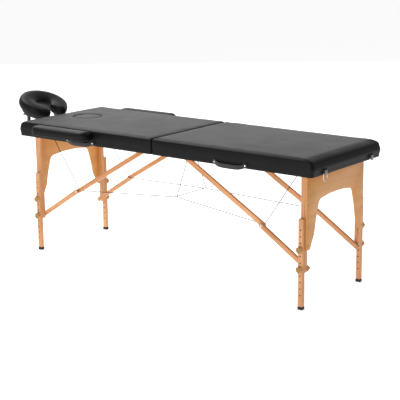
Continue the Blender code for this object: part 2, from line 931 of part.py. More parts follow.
def make_latch_loop(hand, sign):
    """A closed wire loop hanging from the lever's lug."""
    corner = 0.004
    outline = []
    for y, z, start in (
        (LOOP_HALF_WIDTH - corner, -corner, 0.0),
        (corner - LOOP_HALF_WIDTH, -corner, math.pi / 2),
        (corner - LOOP_HALF_WIDTH, corner - LOOP_DROP, math.pi),
        (LOOP_HALF_WIDTH - corner, corner - LOOP_DROP, 3 * math.pi / 2),
    ):
        outline += arc((y, z), corner, corner, start, start + math.pi / 2, 4)
    points = [(0.0, y, z) for y, z in outline]
    mesh = wire_mesh(f"latch_loop_{hand}", points, LOOP_WIRE_RADIUS, closed=True)
    loop = add_object(
        f"latch_loop_{hand}",
        mesh,
        location=(LOOP_X, sign * LATCH_Y, LOOP_Z),
        material="chrome",
    )
    shade_round(loop)


def make_strike(hand, sign):
    """The catch on the head end that a loop hooks over when the table is shut."""
    y = sign * LATCH_Y
    face_x = -(END_X + FIT)
    strike = box(
        f"latch_strike_{hand}",
        (face_x, y - 0.012, STRIKE_BOTTOM_Z),
        (face_x - STRIKE_THICKNESS, y + 0.012, STRIKE_BOTTOM_Z + STRIKE_HEIGHT),
        material="chrome",
    )
    shelf = box(
        f"strike_shelf_{hand}",
        (face_x - 0.001, y - 0.009, STRIKE_SHELF_Z),
        (face_x - 0.009, y + 0.009, STRIKE_SHELF_Z + STRIKE_THICKNESS),
    )
    lip = box(
        f"strike_lip_{hand}",
        (face_x - 0.0075, y - 0.009, STRIKE_SHELF_Z),
        (face_x - 0.009, y + 0.009, STRIKE_SHELF_Z + 0.006),
    )
    join(strike, shelf, lip)


# ---------------------------------------------------------------- armrests


def make_armrest(hand, sign, frame, cover):
    """A padded armrest beside the head half, on two pegs in the side rail."""
    inner_y = HALF_WIDTH + 0.0035
    outline = []
    half = ARMREST_LENGTH / 2
    width = ARMREST_WIDTH
    inner, outer = 0.010, 0.034
    outline += arc((inner - half, inner), inner, inner, math.pi, 1.5 * math.pi, 3)
    outline += arc((half - inner, inner), inner, inner, 1.5 * math.pi, 2 * math.pi, 3)
    outline += arc((half - outer, width - outer), outer, outer, 0, math.pi / 2, 6)
    outline += arc((outer - half, width - outer), outer, outer, math.pi / 2, math.pi, 6)
    outline = [(x, sign * y) for x, y in outline]
    height = ARMREST_TOP_Z - ARMREST_BOTTOM_Z
    armrest = plate(
        f"armrest_{hand}",
        outline,
        height,
        location=(ARMREST_X, sign * inner_y, (ARMREST_TOP_Z + ARMREST_BOTTOM_Z) / 2),
        material="black_leather",
    )
    round_top_edge(armrest.data, 0.008, keep_bottom=True)
    peg_end = RAIL_INNER_Y + FIT
    peg_length = inner_y + 0.010 - peg_end
    for end in (-1, 1):
        x = ARMREST_X + end * PEG_SPACING / 2
        peg = cylinder(
            f"armrest_peg_{hand}_{end}",
            PEG_RADIUS,
            peg_length,
            (x, sign * (peg_end + peg_length / 2), PEG_Z),
            axis="Y",
        )
        socket = cylinder(
            f"armrest_socket_{hand}_{end}",
            PEG_RADIUS + BORE_CLEARANCE,
            0.060,
            (x, sign * HALF_WIDTH, PEG_Z),
            axis="Y",
        )
        join(armrest, peg)
        cut(frame, socket)
        cut(cover, socket)


# ---------------------------------------------------------------- face cradle


def cradle_arc(radius_x, radius_y, steps, widen=0.0):
    """Points of a horseshoe open toward the table, in the cradle's own plane."""
    start = CRADLE_OPENING + widen
    return arc(
        (CUSHION_CENTRE_X, 0.0), radius_x, radius_y, start, 2 * math.pi - start, steps
    )


def make_cradle_base(frame, cover):
    """Two rods that plug into the head end, a cross tube and two uprights for the axle."""
    rod_start = -END_X + ROD_INSIDE
    rod_length = rod_start - CRADLE_AXLE_X
    socket_radius = ROD_RADIUS + 0.0004
    base = cylinder(
        "headrest_base",
        ROD_RADIUS,
        2 * ROD_Y + 0.012,
        (CRADLE_AXLE_X, 0, ROD_Z),
        axis="Y",
        material="aluminium",
    )
    for hand, sign in SIDES.items():
        y = sign * ROD_Y
        rod = cylinder(
            f"headrest_rod_{hand}",
            ROD_RADIUS,
            rod_length,
            (CRADLE_AXLE_X + rod_length / 2, y, ROD_Z),
            axis="X",
        )
        upright = box(
            f"headrest_upright_{hand}",
            (CRADLE_AXLE_X - 0.008, y - 0.0055, ROD_Z - 0.003),
            (CRADLE_AXLE_X + 0.008, y + 0.0055, CRADLE_AXLE_Z + 0.008),
        )
        socket = cylinder(
            f"headrest_socket_{hand}", socket_radius, 0.10, (-END_X, y, ROD_Z), axis="X"
        )
        join(base, rod, upright)
        cut(frame, socket)
        cut(cover, socket)
    bore = cylinder(
        "headrest_base_bore",
        AXLE_RADIUS + BORE_CLEARANCE,
        0.30,
        (CRADLE_AXLE_X, 0, CRADLE_AXLE_Z),
        axis="Y",
    )
    cut(base, bore)


def make_cradle_lever():
    """The clamping axle with its cam lever at the front end."""
    half = 0.104
    lever = cylinder(
        "headrest_lever",
        AXLE_RADIUS,
        2 * half,
        (CRADLE_AXLE_X, 0, CRADLE_AXLE_Z),
        axis="Y",
        material="aluminium",
    )
    cam = cylinder(
        "headrest_cam", 0.007, 0.012, (CRADLE_AXLE_X, -half, CRADLE_AXLE_Z), axis="Y"
    )
    arm = box(
        "headrest_lever_arm",
        (CRADLE_AXLE_X - 0.042, -half - 0.0045, CRADLE_AXLE_Z - 0.003),
        (CRADLE_AXLE_X, -half + 0.0045, CRADLE_AXLE_Z + 0.003),
    )
    nut = cylinder(
        "headrest_nut", 0.006, 0.006, (CRADLE_AXLE_X, half - 0.003, CRADLE_AXLE_Z), axis="Y", sides=6
    )
    join(lever, cam, arm, nut)


def make_cradle_platform(axle):
    """The horseshoe board under the cushion, with two lugs that turn on the axle."""
    outer = cradle_arc(0.104, 0.122, 24)
    inner = cradle_arc(0.064, 0.082, 24)
    platform = plate(
        "headrest_platform",
        outer + list(reversed(inner)),
        PLATFORM_THICKNESS,
        location=(0, 0, PLATFORM_BOTTOM_Z + PLATFORM_THICKNESS / 2),
        material="plywood",
        parent=axle,
    )
    for hand, sign in SIDES.items():
        lug = box(
            f"headrest_lug_{hand}",
            (-0.008, sign * 0.0785, -0.008),
            (0.008, sign * 0.0895, PLATFORM_BOTTOM_Z + 0.003),
            parent=axle,
        )
        join(platform, lug)
    bore = cylinder(
        "headrest_platform_bore",
        AXLE_RADIUS + BORE_CLEARANCE,
        0.30,
        (0, 0, 0),
        axis="Y",
        parent=axle,
    )
    cut(platform, bore)


def make_cradle_cushion(axle):
    """The crescent cushion: a fat tube along a horseshoe, pressed a little flat."""
    route = cradle_arc(CUSHION_RADIUS_X, CUSHION_RADIUS_Y, 20, widen=math.radians(6))
    points = [(x, y, 0.0) for x, y in route]
    mesh = wire_mesh("headrest_cushion", points, CUSHION_TUBE_RADIUS, bevel_resolution=4)
    flatten = CUSHION_HALF_HEIGHT / CUSHION_TUBE_RADIUS
    for vert in mesh.vertices:
        vert.co.z *= flatten
    cushion = add_object(
        "headrest_cushion",
        mesh,
        location=(0, 0, CUSHION_CENTRE_Z),
        material="black_leather",
        parent=axle,
    )
    shade_round(cushion)


def make_face_cradle(frame, cover):
    make_cradle_base(frame, cover)
    make_cradle_lever()
    axle = bpy.data.objects.new("headrest_axle", None)
    PARTS.objects.link(axle)
    axle.parent = FOLD_AXIS
    axle.matrix_parent_inverse = FROM_FLOOR
    axle.location = (CRADLE_AXLE_X, 0, CRADLE_AXLE_Z)
    axle.rotation_euler = (0, CRADLE_TILT, 0)
    make_cradle_platform(axle)
    make_cradle_cushion(axle)


# ---------------------------------------------------------------- assembly


def make_half(half, side):
    frame = make_frame(half, side)
    deck = make_deck(half, side)
    foam = make_foam(half, side)
    cover = make_cover(half, side)
    make_handle(half, side)
    make_end_panel(half, side)
    for hand, sign in SIDES.items():
        place = f"{half}_{hand}"
        make_leg(place, side, sign)
        make_extension(place, side, sign)
        make_knob(place + "_upper_knob", side, sign, UPPER_KNOB_Z, LEG_INNER_Y + 0.0003)
        make_knob(place + "_lower_knob", side, sign, LOWER_KNOB_Z, LOWER_BRACE_INNER_Y + 0.0005)
        make_braces(place, side, sign)
    return frame, deck, foam, cover


def make_table():
    frame, deck, foam, cover = make_half("head", HALVES["head"])
    make_half("foot", HALVES["foot"])
    make_face_hole(deck, foam, cover)
    make_face_hole_plug()
    make_fold_hinge()
    make_cable("head", HALVES["head"], through_middle=False)
    make_cable("foot", HALVES["foot"], through_middle=True)
    for hand, sign in SIDES.items():
        make_latch_base(hand, sign)
        make_latch_lever(hand, sign)
        make_latch_loop(hand, sign)
        make_strike(hand, sign)
        make_armrest(hand, sign, frame, cover)
    make_face_cradle(frame, cover)


make_table()
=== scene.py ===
"""The looks of the portable massage table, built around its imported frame.

Leather pads, plug, armrests and cradle cushion are sewn shapes puffed by one short cloth
simulation.  Wood and metal keep their CAD shape with softened edges.  The sliding legs, knobs,
straps, wire loops and cables are rebuilt with the detail that the frame leaves out.
"""

import json
import math

import bmesh
import bpy
import numpy as np
from mathutils import Matrix, Vector, noise
from mathutils.bvhtree import BVHTree


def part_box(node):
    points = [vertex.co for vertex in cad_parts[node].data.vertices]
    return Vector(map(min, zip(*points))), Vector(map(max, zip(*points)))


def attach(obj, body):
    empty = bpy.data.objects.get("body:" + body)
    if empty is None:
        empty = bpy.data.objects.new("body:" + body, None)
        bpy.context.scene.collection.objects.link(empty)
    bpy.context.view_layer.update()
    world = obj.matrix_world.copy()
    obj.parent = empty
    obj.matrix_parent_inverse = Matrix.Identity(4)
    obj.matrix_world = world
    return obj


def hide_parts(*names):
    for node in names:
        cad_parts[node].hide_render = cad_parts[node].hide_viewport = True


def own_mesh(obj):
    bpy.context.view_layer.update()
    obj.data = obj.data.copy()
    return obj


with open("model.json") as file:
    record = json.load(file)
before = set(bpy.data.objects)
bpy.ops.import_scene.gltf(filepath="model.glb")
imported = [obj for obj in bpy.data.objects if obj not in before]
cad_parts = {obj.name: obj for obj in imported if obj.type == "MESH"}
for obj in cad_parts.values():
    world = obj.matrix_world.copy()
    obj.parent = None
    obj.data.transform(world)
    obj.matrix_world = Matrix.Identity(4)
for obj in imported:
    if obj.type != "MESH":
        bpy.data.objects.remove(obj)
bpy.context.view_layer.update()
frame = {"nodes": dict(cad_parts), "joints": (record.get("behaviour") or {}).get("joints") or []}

HALVES = {"head": -1, "foot": 1}
SIDES = {"front": -1, "back": 1}
JOINTS = {joint["name"]: joint for joint in frame["joints"]}
FOLD_X, _, FOLD_Z = JOINTS["fold_head_side"]["pos_m"]
UP = Vector((0, 0, 1))

# Camera, which looks at the table from in front of its foot end
CAMERA_AZIMUTH = math.radians(38.19)
CAMERA_ELEVATION = math.radians(13.67)
CAMERA_ROLL = -0.0109
CAMERA_PLACE = (FOLD_X + 3.5454, -4.4315, 1.7255)
CAMERA_LENS = 102.2

# Colours of the wood
BEECH = ((0.80, 0.415, 0.195), (0.58, 0.255, 0.098))
PANEL = ((0.74, 0.350, 0.092), (0.60, 0.262, 0.062))
PLATFORM = ((0.020, 0.018, 0.016), (0.010, 0.009, 0.008))
DECK = ((0.56, 0.40, 0.25), (0.42, 0.28, 0.16))
KNOB = ((0.66, 0.37, 0.125), (0.48, 0.24, 0.070))
UPPER_BRACE_SLOPE = math.radians(30.33)
LOWER_BRACE_SLOPE = math.radians(32.65)

# Upholstery; a roll is how far it reaches in from the edge and how deep it drops
TOP_Z = 0.714
SKIN = 0.0012
CROWN = 0.003
SIDE_ROLL = (0.018, 0.014)
END_ROLL = (0.058, 0.028)
FOLD_ROLL = (0.014, 0.012)
END_BULGE = 0.0055
SIDE_BULGE = 0.0018
END_CORNER = 0.018
FOLD_CORNER = 0.012
TUCK = 0.0014
EDGE_STEPS = [0.0, 0.0004, 0.0012, 0.0026, 0.0048, 0.0080, 0.0122, 0.0175, 0.0240, 0.0320]
EDGE_REACH = 0.042
GRID_STEP = 0.0105
FACE_HOLE_RIM = 0.006
FACE_HOLE_GAP = 0.0008
FACE_HOLE_BLOCK = 0.030
SEAM_RADIUS = 0.0007

# Armrests: pegs stick out of the padded block, whose outer corners are the rounder ones
PEG_REACH = 0.020
PEG_SHIFT = 0.080
INNER_CORNER = 0.012
OUTER_CORNER = 0.034

# Face cradle cushion, in the axes of the tilting cradle
CRADLE_TILT = math.radians(24.0)
CRADLE = Matrix.Translation(JOINTS["headrest_tilt"]["pos_m"])
CRADLE = CRADLE @ Matrix.Rotation(CRADLE_TILT, 4, "Y")
CUSHION_CENTRE = (0.0247, 0.0, 0.0624)
CUSHION_RADII = (0.079, 0.097)
CUSHION_SECTION = (0.049, 0.0335)
CUSHION_START = math.radians(17)
CUSHION_DISH = 0.42
CUSHION_DOME = 0.05

# Height holes of the leg extensions
HOLE_PITCH = 0.031
LOWEST_HOLE_Z = 0.069
HOLE_COUNT = 11
HOLE_RADIUS = 0.0034

# Star knobs: share of the radius, rise, and how deep the lobes are there
KNOB_THICKNESS = 0.0155
KNOB_RADIUS = 0.0160
KNOB_LEVELS = [
    (0.62, 0.0, 0.2), (0.93, 0.0008, 0.7), (1.0, 0.0030, 1.0), (1.0, 0.0095, 1.0),
    (0.965, 0.0125, 0.95), (0.87, 0.0145, 0.8), (0.70, 0.0153, 0.5), (0.46, 0.0155, 0.2),
    (0.30, 0.0147, 0.0), (0.26, 0.0130, 0.0),
]
THREAD_PITCH = 0.0011

# Latch wires: the corners of the loop, rounder at its free end
LOOP_CORNERS = (0.0135, 0.0135, 0.0045, 0.0045)

# Cables: the points of the CAD's routes, measured from the floor under the fold line
CABLE_RADIUS = 0.0016
CABLE_START_X = 0.820
CABLE_Y = 0.1955
ELBOW_X = 0.5981
ELBOW_Z = 0.3514


def both_sides(points):
    """A route from the front to the middle, and back out to the mirrored start."""
    return points + [(x, -y, z) for x, y, z in reversed(points)]


CABLES = {
    "head": both_sides(
        [(-CABLE_START_X, -CABLE_Y, 0.671), (-ELBOW_X, -CABLE_Y, ELBOW_Z), (-0.006, -0.120, 0.385)]
    ),
    "foot": both_sides(
        [
            (CABLE_START_X, -CABLE_Y, 0.671), (ELBOW_X, -CABLE_Y, ELBOW_Z),
            (0.006, -0.120, 0.385), (0.012, -0.010, 0.629),
        ]
    ),
}


# ---- camera and light


def link_new(name, data):
    obj = bpy.data.objects.new(name, data)
    bpy.context.scene.collection.objects.link(obj)
    return obj


def set_all(thing, **values):
    for key, value in values.items():
        setattr(thing, key, value)


def make_camera():
    across = math.cos(CAMERA_ELEVATION)
    x, y = math.sin(CAMERA_AZIMUTH) * across, -math.cos(CAMERA_AZIMUTH) * across
    back = Vector((x, y, math.sin(CAMERA_ELEVATION)))
    right = (-back).cross(UP).normalized()
    up = right.cross(-back)
    turned_right = right * math.cos(CAMERA_ROLL) + up * math.sin(CAMERA_ROLL)
    turned_up = up * math.cos(CAMERA_ROLL) - right * math.sin(CAMERA_ROLL)
    data = bpy.data.cameras.new("camera")
    data.lens = CAMERA_LENS
    data.sensor_width = 36.0
    camera = link_new("camera", data)
    rotation = Matrix((turned_right, turned_up, back)).transposed().to_4x4()
    camera.matrix_world = Matrix.Translation(CAMERA_PLACE) @ rotation
    bpy.context.scene.camera = camera


def area_light(name, location, size, power, target=(0, 0, 0.5)):
    data = bpy.data.lights.new(name, "AREA")
    data.shape = "RECTANGLE"
    data.size, data.size_y = size
    data.energy = power
    light = link_new(name, data)
    light.location = location
    aim = Vector(target) - Vector(location)
    light.rotation_euler = aim.to_track_quat("-Z", "Y").to_euler()


def make_studio():
    world = bpy.data.worlds.new("studio")
    world.use_nodes = True
    background = world.node_tree.nodes["Background"]
    background.inputs["Color"].default_value = (1.0, 1.0, 1.0, 1.0)
    background.inputs["Strength"].default_value = 0.36
    bpy.context.scene.world = world
    bpy.context.scene.view_settings.view_transform = "Standard"
    area_light("backdrop", (-5.0, 6.5, 2.4), (11.0, 4.6), 250)
    area_light("overhead", (-2.6, 0.4, 3.8), (2.6, 3.0), 120)
    area_light("front", (0.6, -4.6, 1.6), (1.6, 1.4), 60)
    mesh = bpy.data.meshes.new("floor")
    bm = bmesh.new()
    bmesh.ops.create_grid(bm, x_segments=2, y_segments=2, size=60.0)
    bm.to_mesh(mesh)
    bm.free()
    floor = link_new("floor", mesh)
    paint = Graph("floor_paint")
    paint.set("Base Color", (0.93, 0.93, 0.93))
    paint.set("Roughness", 0.9)
    paint.set("Emission Color", (1.0, 1.0, 1.0))
    paint.set("Emission Strength", 0.62)
    mesh.materials.append(paint.material)


# ---- material nodes


class Graph:
    """A new material; what its methods are given may be a value or another node's output."""

    def __init__(self, name):
        self.material = bpy.data.materials.new(name)
        self.material.use_nodes = True
        self.tree = self.material.node_tree
        self.shader = self.tree.nodes["Principled BSDF"]

    def feed(self, socket, value):
        if isinstance(value, bpy.types.NodeSocket):
            self.tree.links.new(value, socket)
        elif socket.type == "RGBA":
            socket.default_value = (*value, 1.0)
        else:
            socket.default_value = value

    def node(self, kind, output, inputs, **settings):
        """Adds a node with its settings and inputs, and returns one of its outputs."""
        node = self.tree.nodes.new("ShaderNode" + kind)
        set_all(node, **settings)
        for key, value in inputs.items():
            self.feed(node.inputs[key], value)
        return node.outputs[output]

    def set(self, name, value):
        self.feed(self.shader.inputs[name], value)

    def coordinates(self, rotation=(0, 0, 0), scale=(1, 1, 1)):
        """Object coordinates, which are the row frame's on every piece at rest."""
        inputs = {
            "Vector": self.node("TexCoord", "Object", {}), "Rotation": rotation, "Scale": scale
        }
        return self.node("Mapping", "Vector", inputs, vector_type="TEXTURE")

    def noise(self, vector, scale, detail=3.0, roughness=0.5):
        inputs = {"Vector": vector, "Scale": scale, "Detail": detail, "Roughness": roughness}
        return self.node("TexNoise", "Fac", inputs)

    def voronoi(self, vector, scale, feature):
        inputs = {"Vector": vector, "Scale": scale}
        return self.node("TexVoronoi", "Distance", inputs, feature=feature)

    def bands(self, vector, scale, direction, distortion=0.0):
        inputs = {"Vector": vector, "Scale": scale, "Distortion": distortion, "Detail": 2.0}
        return self.node(
            "TexWave", "Fac", inputs, wave_type="BANDS", bands_direction=direction
        )

    def ramp(self, value, *stops):
        node = self.tree.nodes.new("ShaderNodeValToRGB")
        while len(node.color_ramp.elements) < len(stops):
            node.color_ramp.elements.new(0.5)
        for element, (position, colour) in zip(node.color_ramp.elements, stops):
            element.position = position
            element.color = (*colour, 1.0)
        self.tree.links.new(value, node.inputs["Fac"])
        return node.outputs["Color"]

    def span(self, value, low, high, from_low=0.3, from_high=0.7):
        inputs = {
            "Value": value, "From Min": from_low, "From Max": from_high,
            "To Min": low, "To Max": high,
        }
        return self.node("MapRange", "Result", inputs)

    def math(self, operation, *values):
        return self.node("Math", "Value", dict(enumerate(values)), operation=operation)

    def plus(self, first, second, share):
        """The first value and a share of the second."""
        return self.math("ADD", first, self.math("MULTIPLY", second, share))

    def mix(self, factor, first, second, blend="MIX"):
        inputs = {0: factor, 6: first, 7: second}
        return self.node("Mix", 2, inputs, data_type="RGBA", blend_type=blend)

    def finish(self, colour, roughness, height, strength, distance):
        """Sets the colour, the roughness and a fine relief of that strength and depth."""
        self.set("Base Color", colour)
        self.set("Roughness", roughness)
        inputs = {"Strength": strength, "Distance": distance, "Height": height}
        self.set("Normal", self.node("Bump", "Normal", inputs))
        return self

    def facing(self, direction):
        """Nearly 1 on faces square to a direction of the object."""
        normal = self.node(
            "VectorTransform",
            "Vector",
            {"Vector": self.node("NewGeometry", "Normal", {})},
            vector_type="NORMAL",
            convert_from="WORLD",
            convert_to="OBJECT",
        )
        inputs = {0: normal, 1: Vector(direction).normalized()}
        dot = self.node("VectorMath", "Value", inputs, operation="DOT_PRODUCT")
        return self.span(self.math("ABSOLUTE", dot), 0.0, 0.75, 0.75, 0.98)


# ---- materials


def leather(name, tone=1.0):
    """Black upholstery leather: pebble grain, faint creases and a satin, uneven gloss."""
    graph = Graph(name)
    vector = graph.coordinates()
    dark = (0.0020 * tone,) * 3
    light = (0.0036 * tone, 0.0036 * tone, 0.0038 * tone)
    colour = graph.ramp(graph.noise(vector, 5.0, 5.0), (0.30, dark), (0.70, light))
    rough = graph.span(graph.noise(vector, 9.0, 6.0, 0.6), 0.455, 0.505)
    graph.set("Specular IOR Level", 0.17)
    pebble = graph.voronoi(vector, 620.0, "SMOOTH_F1")
    pores = graph.noise(vector, 1500.0, 2.0)
    crease = graph.noise(graph.coordinates(scale=(1, 0.35, 1)), 60.0, 5.0)
    grain = graph.plus(graph.plus(pebble, pores, 0.4), crease, 0.7)
    return graph.finish(colour, rough, grain, 0.35, 0.0006)


def wood(name, along, light, dark, gloss=0.40):
    """Varnished beech with its grain along a direction: long figure, fine fibres, flecks."""
    graph = Graph(name)
    turn = Vector(along).to_track_quat("Z", "Y").to_euler()
    fibre_space = graph.coordinates(turn, (1, 1, 22))
    figure = graph.noise(graph.coordinates(turn, (1, 1, 9)), 26.0, 4.0, 0.55)
    fibres = graph.noise(fibre_space, 420.0, 4.0, 0.7)
    flecks = graph.voronoi(fibre_space, 330.0, "F1")
    middle = tuple((a + b) / 2 for a, b in zip(light, dark))
    white = (1.0, 1.0, 1.0)
    colour = graph.ramp(figure, (0.32, light), (0.52, middle), (0.72, dark))
    streak = graph.ramp(fibres, (0.35, (0.80, 0.74, 0.68)), (0.60, white))
    colour = graph.mix(0.55, colour, streak, "MULTIPLY")
    fleck = graph.ramp(flecks, (0.06, (0.62, 0.48, 0.38)), (0.16, white))
    colour = graph.mix(0.45, colour, fleck, "MULTIPLY")
    colour = graph.mix(graph.facing(along), colour, tuple(0.62 * c for c in dark))
    graph.set("Specular IOR Level", 0.35)
    graph.set("Coat Weight", 0.08)
    graph.set("Coat Roughness", 0.28)
    rough = graph.span(figure, gloss - 0.05, gloss + 0.10)
    return graph.finish(colour, rough, fibres, 0.22, 0.0004)


def plywood(name, thickness_axis, light, dark, ply=0.0016):
    """Rotary-cut face veneer, and thin plies on the edges."""
    graph = wood(name, (0, 1, 0), light, dark, gloss=0.38)
    face_colour = graph.shader.inputs["Base Color"].links[0].from_socket
    vector = graph.coordinates()
    depth = graph.node("SeparateXYZ", thickness_axis, {"Vector": vector})
    depth = graph.plus(depth, graph.noise(vector, 40.0), 0.0006)
    layer = graph.math("SINE", graph.math("MULTIPLY", depth, math.pi / ply))
    plies = graph.ramp(graph.math("MULTIPLY_ADD", layer, 0.5, 0.5), (0.25, dark), (0.75, light))
    plies = graph.mix(0.35, plies, tuple(0.80 * c for c in light))
    direction = tuple(1.0 if axis == thickness_axis else 0.0 for axis in "XYZ")
    graph.set("Base Color", graph.mix(graph.facing(direction), plies, face_colour))
    return graph


def metal(name, colour, rough, brushed=0.0):
    """Polished or satin metal with faint smudges and, if brushed, fine scratches."""
    graph = Graph(name)
    smudge = graph.noise(graph.coordinates(), 55.0, 5.0, 0.6)
    mottled = graph.ramp(smudge, (0.30, tuple(0.82 * c for c in colour)), (0.65, colour))
    scratches = graph.noise(graph.coordinates(scale=(1, 14, 1)), 900.0)
    graph.set("Metallic", 1.0)
    gloss = graph.span(smudge, rough, rough + 0.12)
    return graph.finish(mottled, gloss, scratches, 0.05 + brushed, 0.0002)


def plastic(name, colour, rough, texture_scale=900.0):
    """Moulded plastic or rubber with a fine spark texture and slightly uneven tone."""
    graph = Graph(name)
    vector = graph.coordinates()
    tone = graph.noise(vector, 30.0, 4.0)
    lighter = tuple(min(1.0, 1.5 * c + 0.004) for c in colour)
    uneven = graph.ramp(tone, (0.35, colour), (0.70, lighter))
    gloss = graph.span(tone, rough - 0.06, rough + 0.08)
    spark = graph.noise(vector, texture_scale, 2.0)
    return graph.finish(uneven, gloss, spark, 0.20, 0.0003)


def webbing(name):
    """Woven black strap: ribs across, finer yarns along."""
    graph = Graph(name)
    vector = graph.coordinates()
    ribs = graph.bands(vector, 200.0, "X")
    yarns = graph.bands(vector, 150.0, "Z", distortion=0.4)
    fuzz = graph.noise(vector, 1200.0)
    height = graph.plus(graph.math("MULTIPLY", ribs, yarns), fuzz, 0.3)
    colour = graph.ramp(height, (0.1, (0.008, 0.008, 0.009)), (0.9, (0.035, 0.035, 0.037)))
    graph.set("Sheen Weight", 0.35)
    return graph.finish(colour, graph.span(fuzz, 0.66, 0.86), height, 0.5, 0.0006)


def make_materials():
    made = {
        "leather": leather("black_leather"),
        "leather_seam": leather("black_leather_welt", tone=1.25),
        "leg": wood("beech_upright", (0, 0, 1), *BEECH),
        "rail_x": wood("beech_lengthwise", (1, 0, 0), *BEECH),
        "knob": wood("knob_beech", (0, 1, 0), *KNOB, gloss=0.30),
        "panel": plywood("panel_plywood", "X", *PANEL),
        "platform": plywood("platform_plywood", "Z", *PLATFORM),
        "deck": wood("deck_board", (0, 1, 0), *DECK, gloss=0.7),
        "chrome": metal("chrome", (0.86, 0.86, 0.88), 0.08),
        "steel": metal("steel", (0.62, 0.62, 0.64), 0.28, brushed=0.10),
        "cable": metal("cable_steel", (0.09, 0.09, 0.095), 0.50, brushed=0.25),
        "dark_metal": metal("blackened_steel", (0.10, 0.10, 0.10), 0.35),
        "lever_chrome": metal("shaded_chrome", (0.16, 0.16, 0.165), 0.14),
        "aluminium": metal("aluminium", (0.68, 0.69, 0.71), 0.30, brushed=0.08),
        "black_plastic": plastic("black_plastic", (0.014, 0.014, 0.015), 0.38),
        "rubber": plastic("black_rubber", (0.011, 0.011, 0.011), 0.72, texture_scale=500.0),
        "webbing": webbing("strap_webbing"),
        # Painted shade: a near-black brown for the inside of the drilled holes, whose bare wood is
        # light.
        "hole_insert": plastic("hole_char", (0.012, 0.006, 0.003), 0.8),
    }
    for half, side in HALVES.items():
        for bar, slope in (("upper", UPPER_BRACE_SLOPE), ("lower", LOWER_BRACE_SLOPE)):
            along = (side * math.cos(slope), 0.0, -math.sin(slope))
            made[f"{half}_{bar}"] = wood(f"beech_{half}_{bar}", along, *BEECH)
    return {name: graph.material for name, graph in made.items()}


# ---- mesh helpers


def add_mesh(name, verts, faces, material, smooth=True):
    mesh = bpy.data.meshes.new(name)
    mesh.from_pydata([tuple(v) for v in verts], [], faces)
    mesh.validate()
    bm = bmesh.new()
    bm.from_mesh(mesh)
    bmesh.ops.recalc_face_normals(bm, faces=bm.faces)
    bm.to_mesh(mesh)
    bm.free()
    mesh.materials.append(MATERIALS[material])
    if smooth:
        mesh.shade_smooth()
    return link_new(name, mesh)


def bridge(first, second, count):
    """Quads between two rings of vertex indices that start at first and second."""
    return [
        (first + i, first + (i + 1) % count, second + (i + 1) % count, second + i)
        for i in range(count)
    ]


def loft(name, rings, material, closed=False):
    """A shape through rings of equal point counts, joined end to end or with flat ends."""
    count, last = len(rings[0]), len(rings) - 1
    verts = [v for ring in rings for v in ring]
    faces = []
    for k in range(last):
        faces += bridge(k * count, (k + 1) * count, count)
    if closed:
        faces += bridge(last * count, 0, count)
    else:
        faces += [tuple(range(count)), tuple(range(last * count, last * count + count))]
    return add_mesh(name, verts, faces, material)


def circle(count):
    """The angle, cosine and sine of directions evenly round a circle."""
    angles = [2 * math.pi * i / count for i in range(count)]
    return [(angle, math.cos(angle), math.sin(angle)) for angle in angles]


def frame_of(direction):
    """Two unit vectors square to a direction."""
    direction = Vector(direction).normalized()
    helper = UP if abs(direction.z) < 0.9 else Vector((1, 0, 0))
    first = direction.cross(helper).normalized()
    return first, direction.cross(first)


def lathe(name, profile, origin, axis, material, sides=32, recess=0.0):
    """A turned piece: profile is (radius, height) pairs along the axis from the origin.

    A recess presses a cross slot of that depth into the inner rings of the last face.
    """
    origin, axis = Vector(origin), Vector(axis).normalized()
    across, up = frame_of(axis)
    outer = max(radius for radius, _ in profile)
    rings = []
    for radius, height in profile:
        ring = []
        for angle, c, s in circle(sides):
            in_slot = height > 0 and radius < 0.55 * outer and abs(math.sin(2 * angle)) < 0.45
            depth = recess if in_slot else 0.0
            ring.append(origin + axis * (height - depth) + (across * c + up * s) * radius)
        rings.append(ring)
    obj = loft(name, rings, material)
    obj.data.set_sharp_from_angle(angle=math.radians(40))
    return obj


def screw(name, origin, axis, radius, body, material="chrome", height=None):
    """A pan-head screw with a cross recess."""
    height = height or 0.45 * radius
    profile = [(radius * 0.92, -0.3 * height), (radius, 0.0), (radius, 0.25 * height)]
    for step in range(1, 5):
        angle = math.pi / 2 * step / 4.6
        profile.append((radius * math.cos(angle), height * (0.25 + 0.75 * math.sin(angle))))
    profile += [(radius * 0.30, height), (radius * 0.12, height * 0.99)]
    obj = lathe(name, profile, origin, axis, material, sides=24, recess=0.55 * height)
    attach(obj, body)


def tube(name, points, radius, material, sides=10, closed=False):
    """A round tube through points, with its section carried along without twisting."""
    points = [Vector(p) for p in points]
    count = len(points)
    rings = []
    normal = None
    for i, point in enumerate(points):
        ahead = points[(i + 1) % count] if closed or i < count - 1 else point
        behind = points[i - 1] if closed or i > 0 else point
        tangent = (ahead - behind).normalized()
        if normal is None:
            normal = frame_of(tangent)[0]
        normal = (normal - tangent * normal.dot(tangent)).normalized()
        side = tangent.cross(normal)
        rings.append([point + (normal * c + side * s) * radius for _, c, s in circle(sides)])
    return loft(name, rings, material, closed)


def rounded_path(points, radius, steps=5):
    """The same route with each inner corner eased by a short curve."""
    points = [Vector(p) for p in points]
    path = [points[0]]
    for before, corner, after in zip(points, points[1:], points[2:]):
        start = corner + (before - corner).normalized() * radius
        end = corner + (after - corner).normalized() * radius
        for i in range(steps + 1):
            t = i / steps
            path.append(start * (1 - t) ** 2 + corner * 2 * t * (1 - t) + end * t * t)
    path.append(points[-1])
    return path


def arc(centre, radius_a, radius_b, start, end, steps):
    angles = [start + (end - start) * i / steps for i in range(steps + 1)]
    return [
        (centre[0] + radius_a * math.cos(angle), centre[1] + radius_b * math.sin(angle))
        for angle in angles
    ]


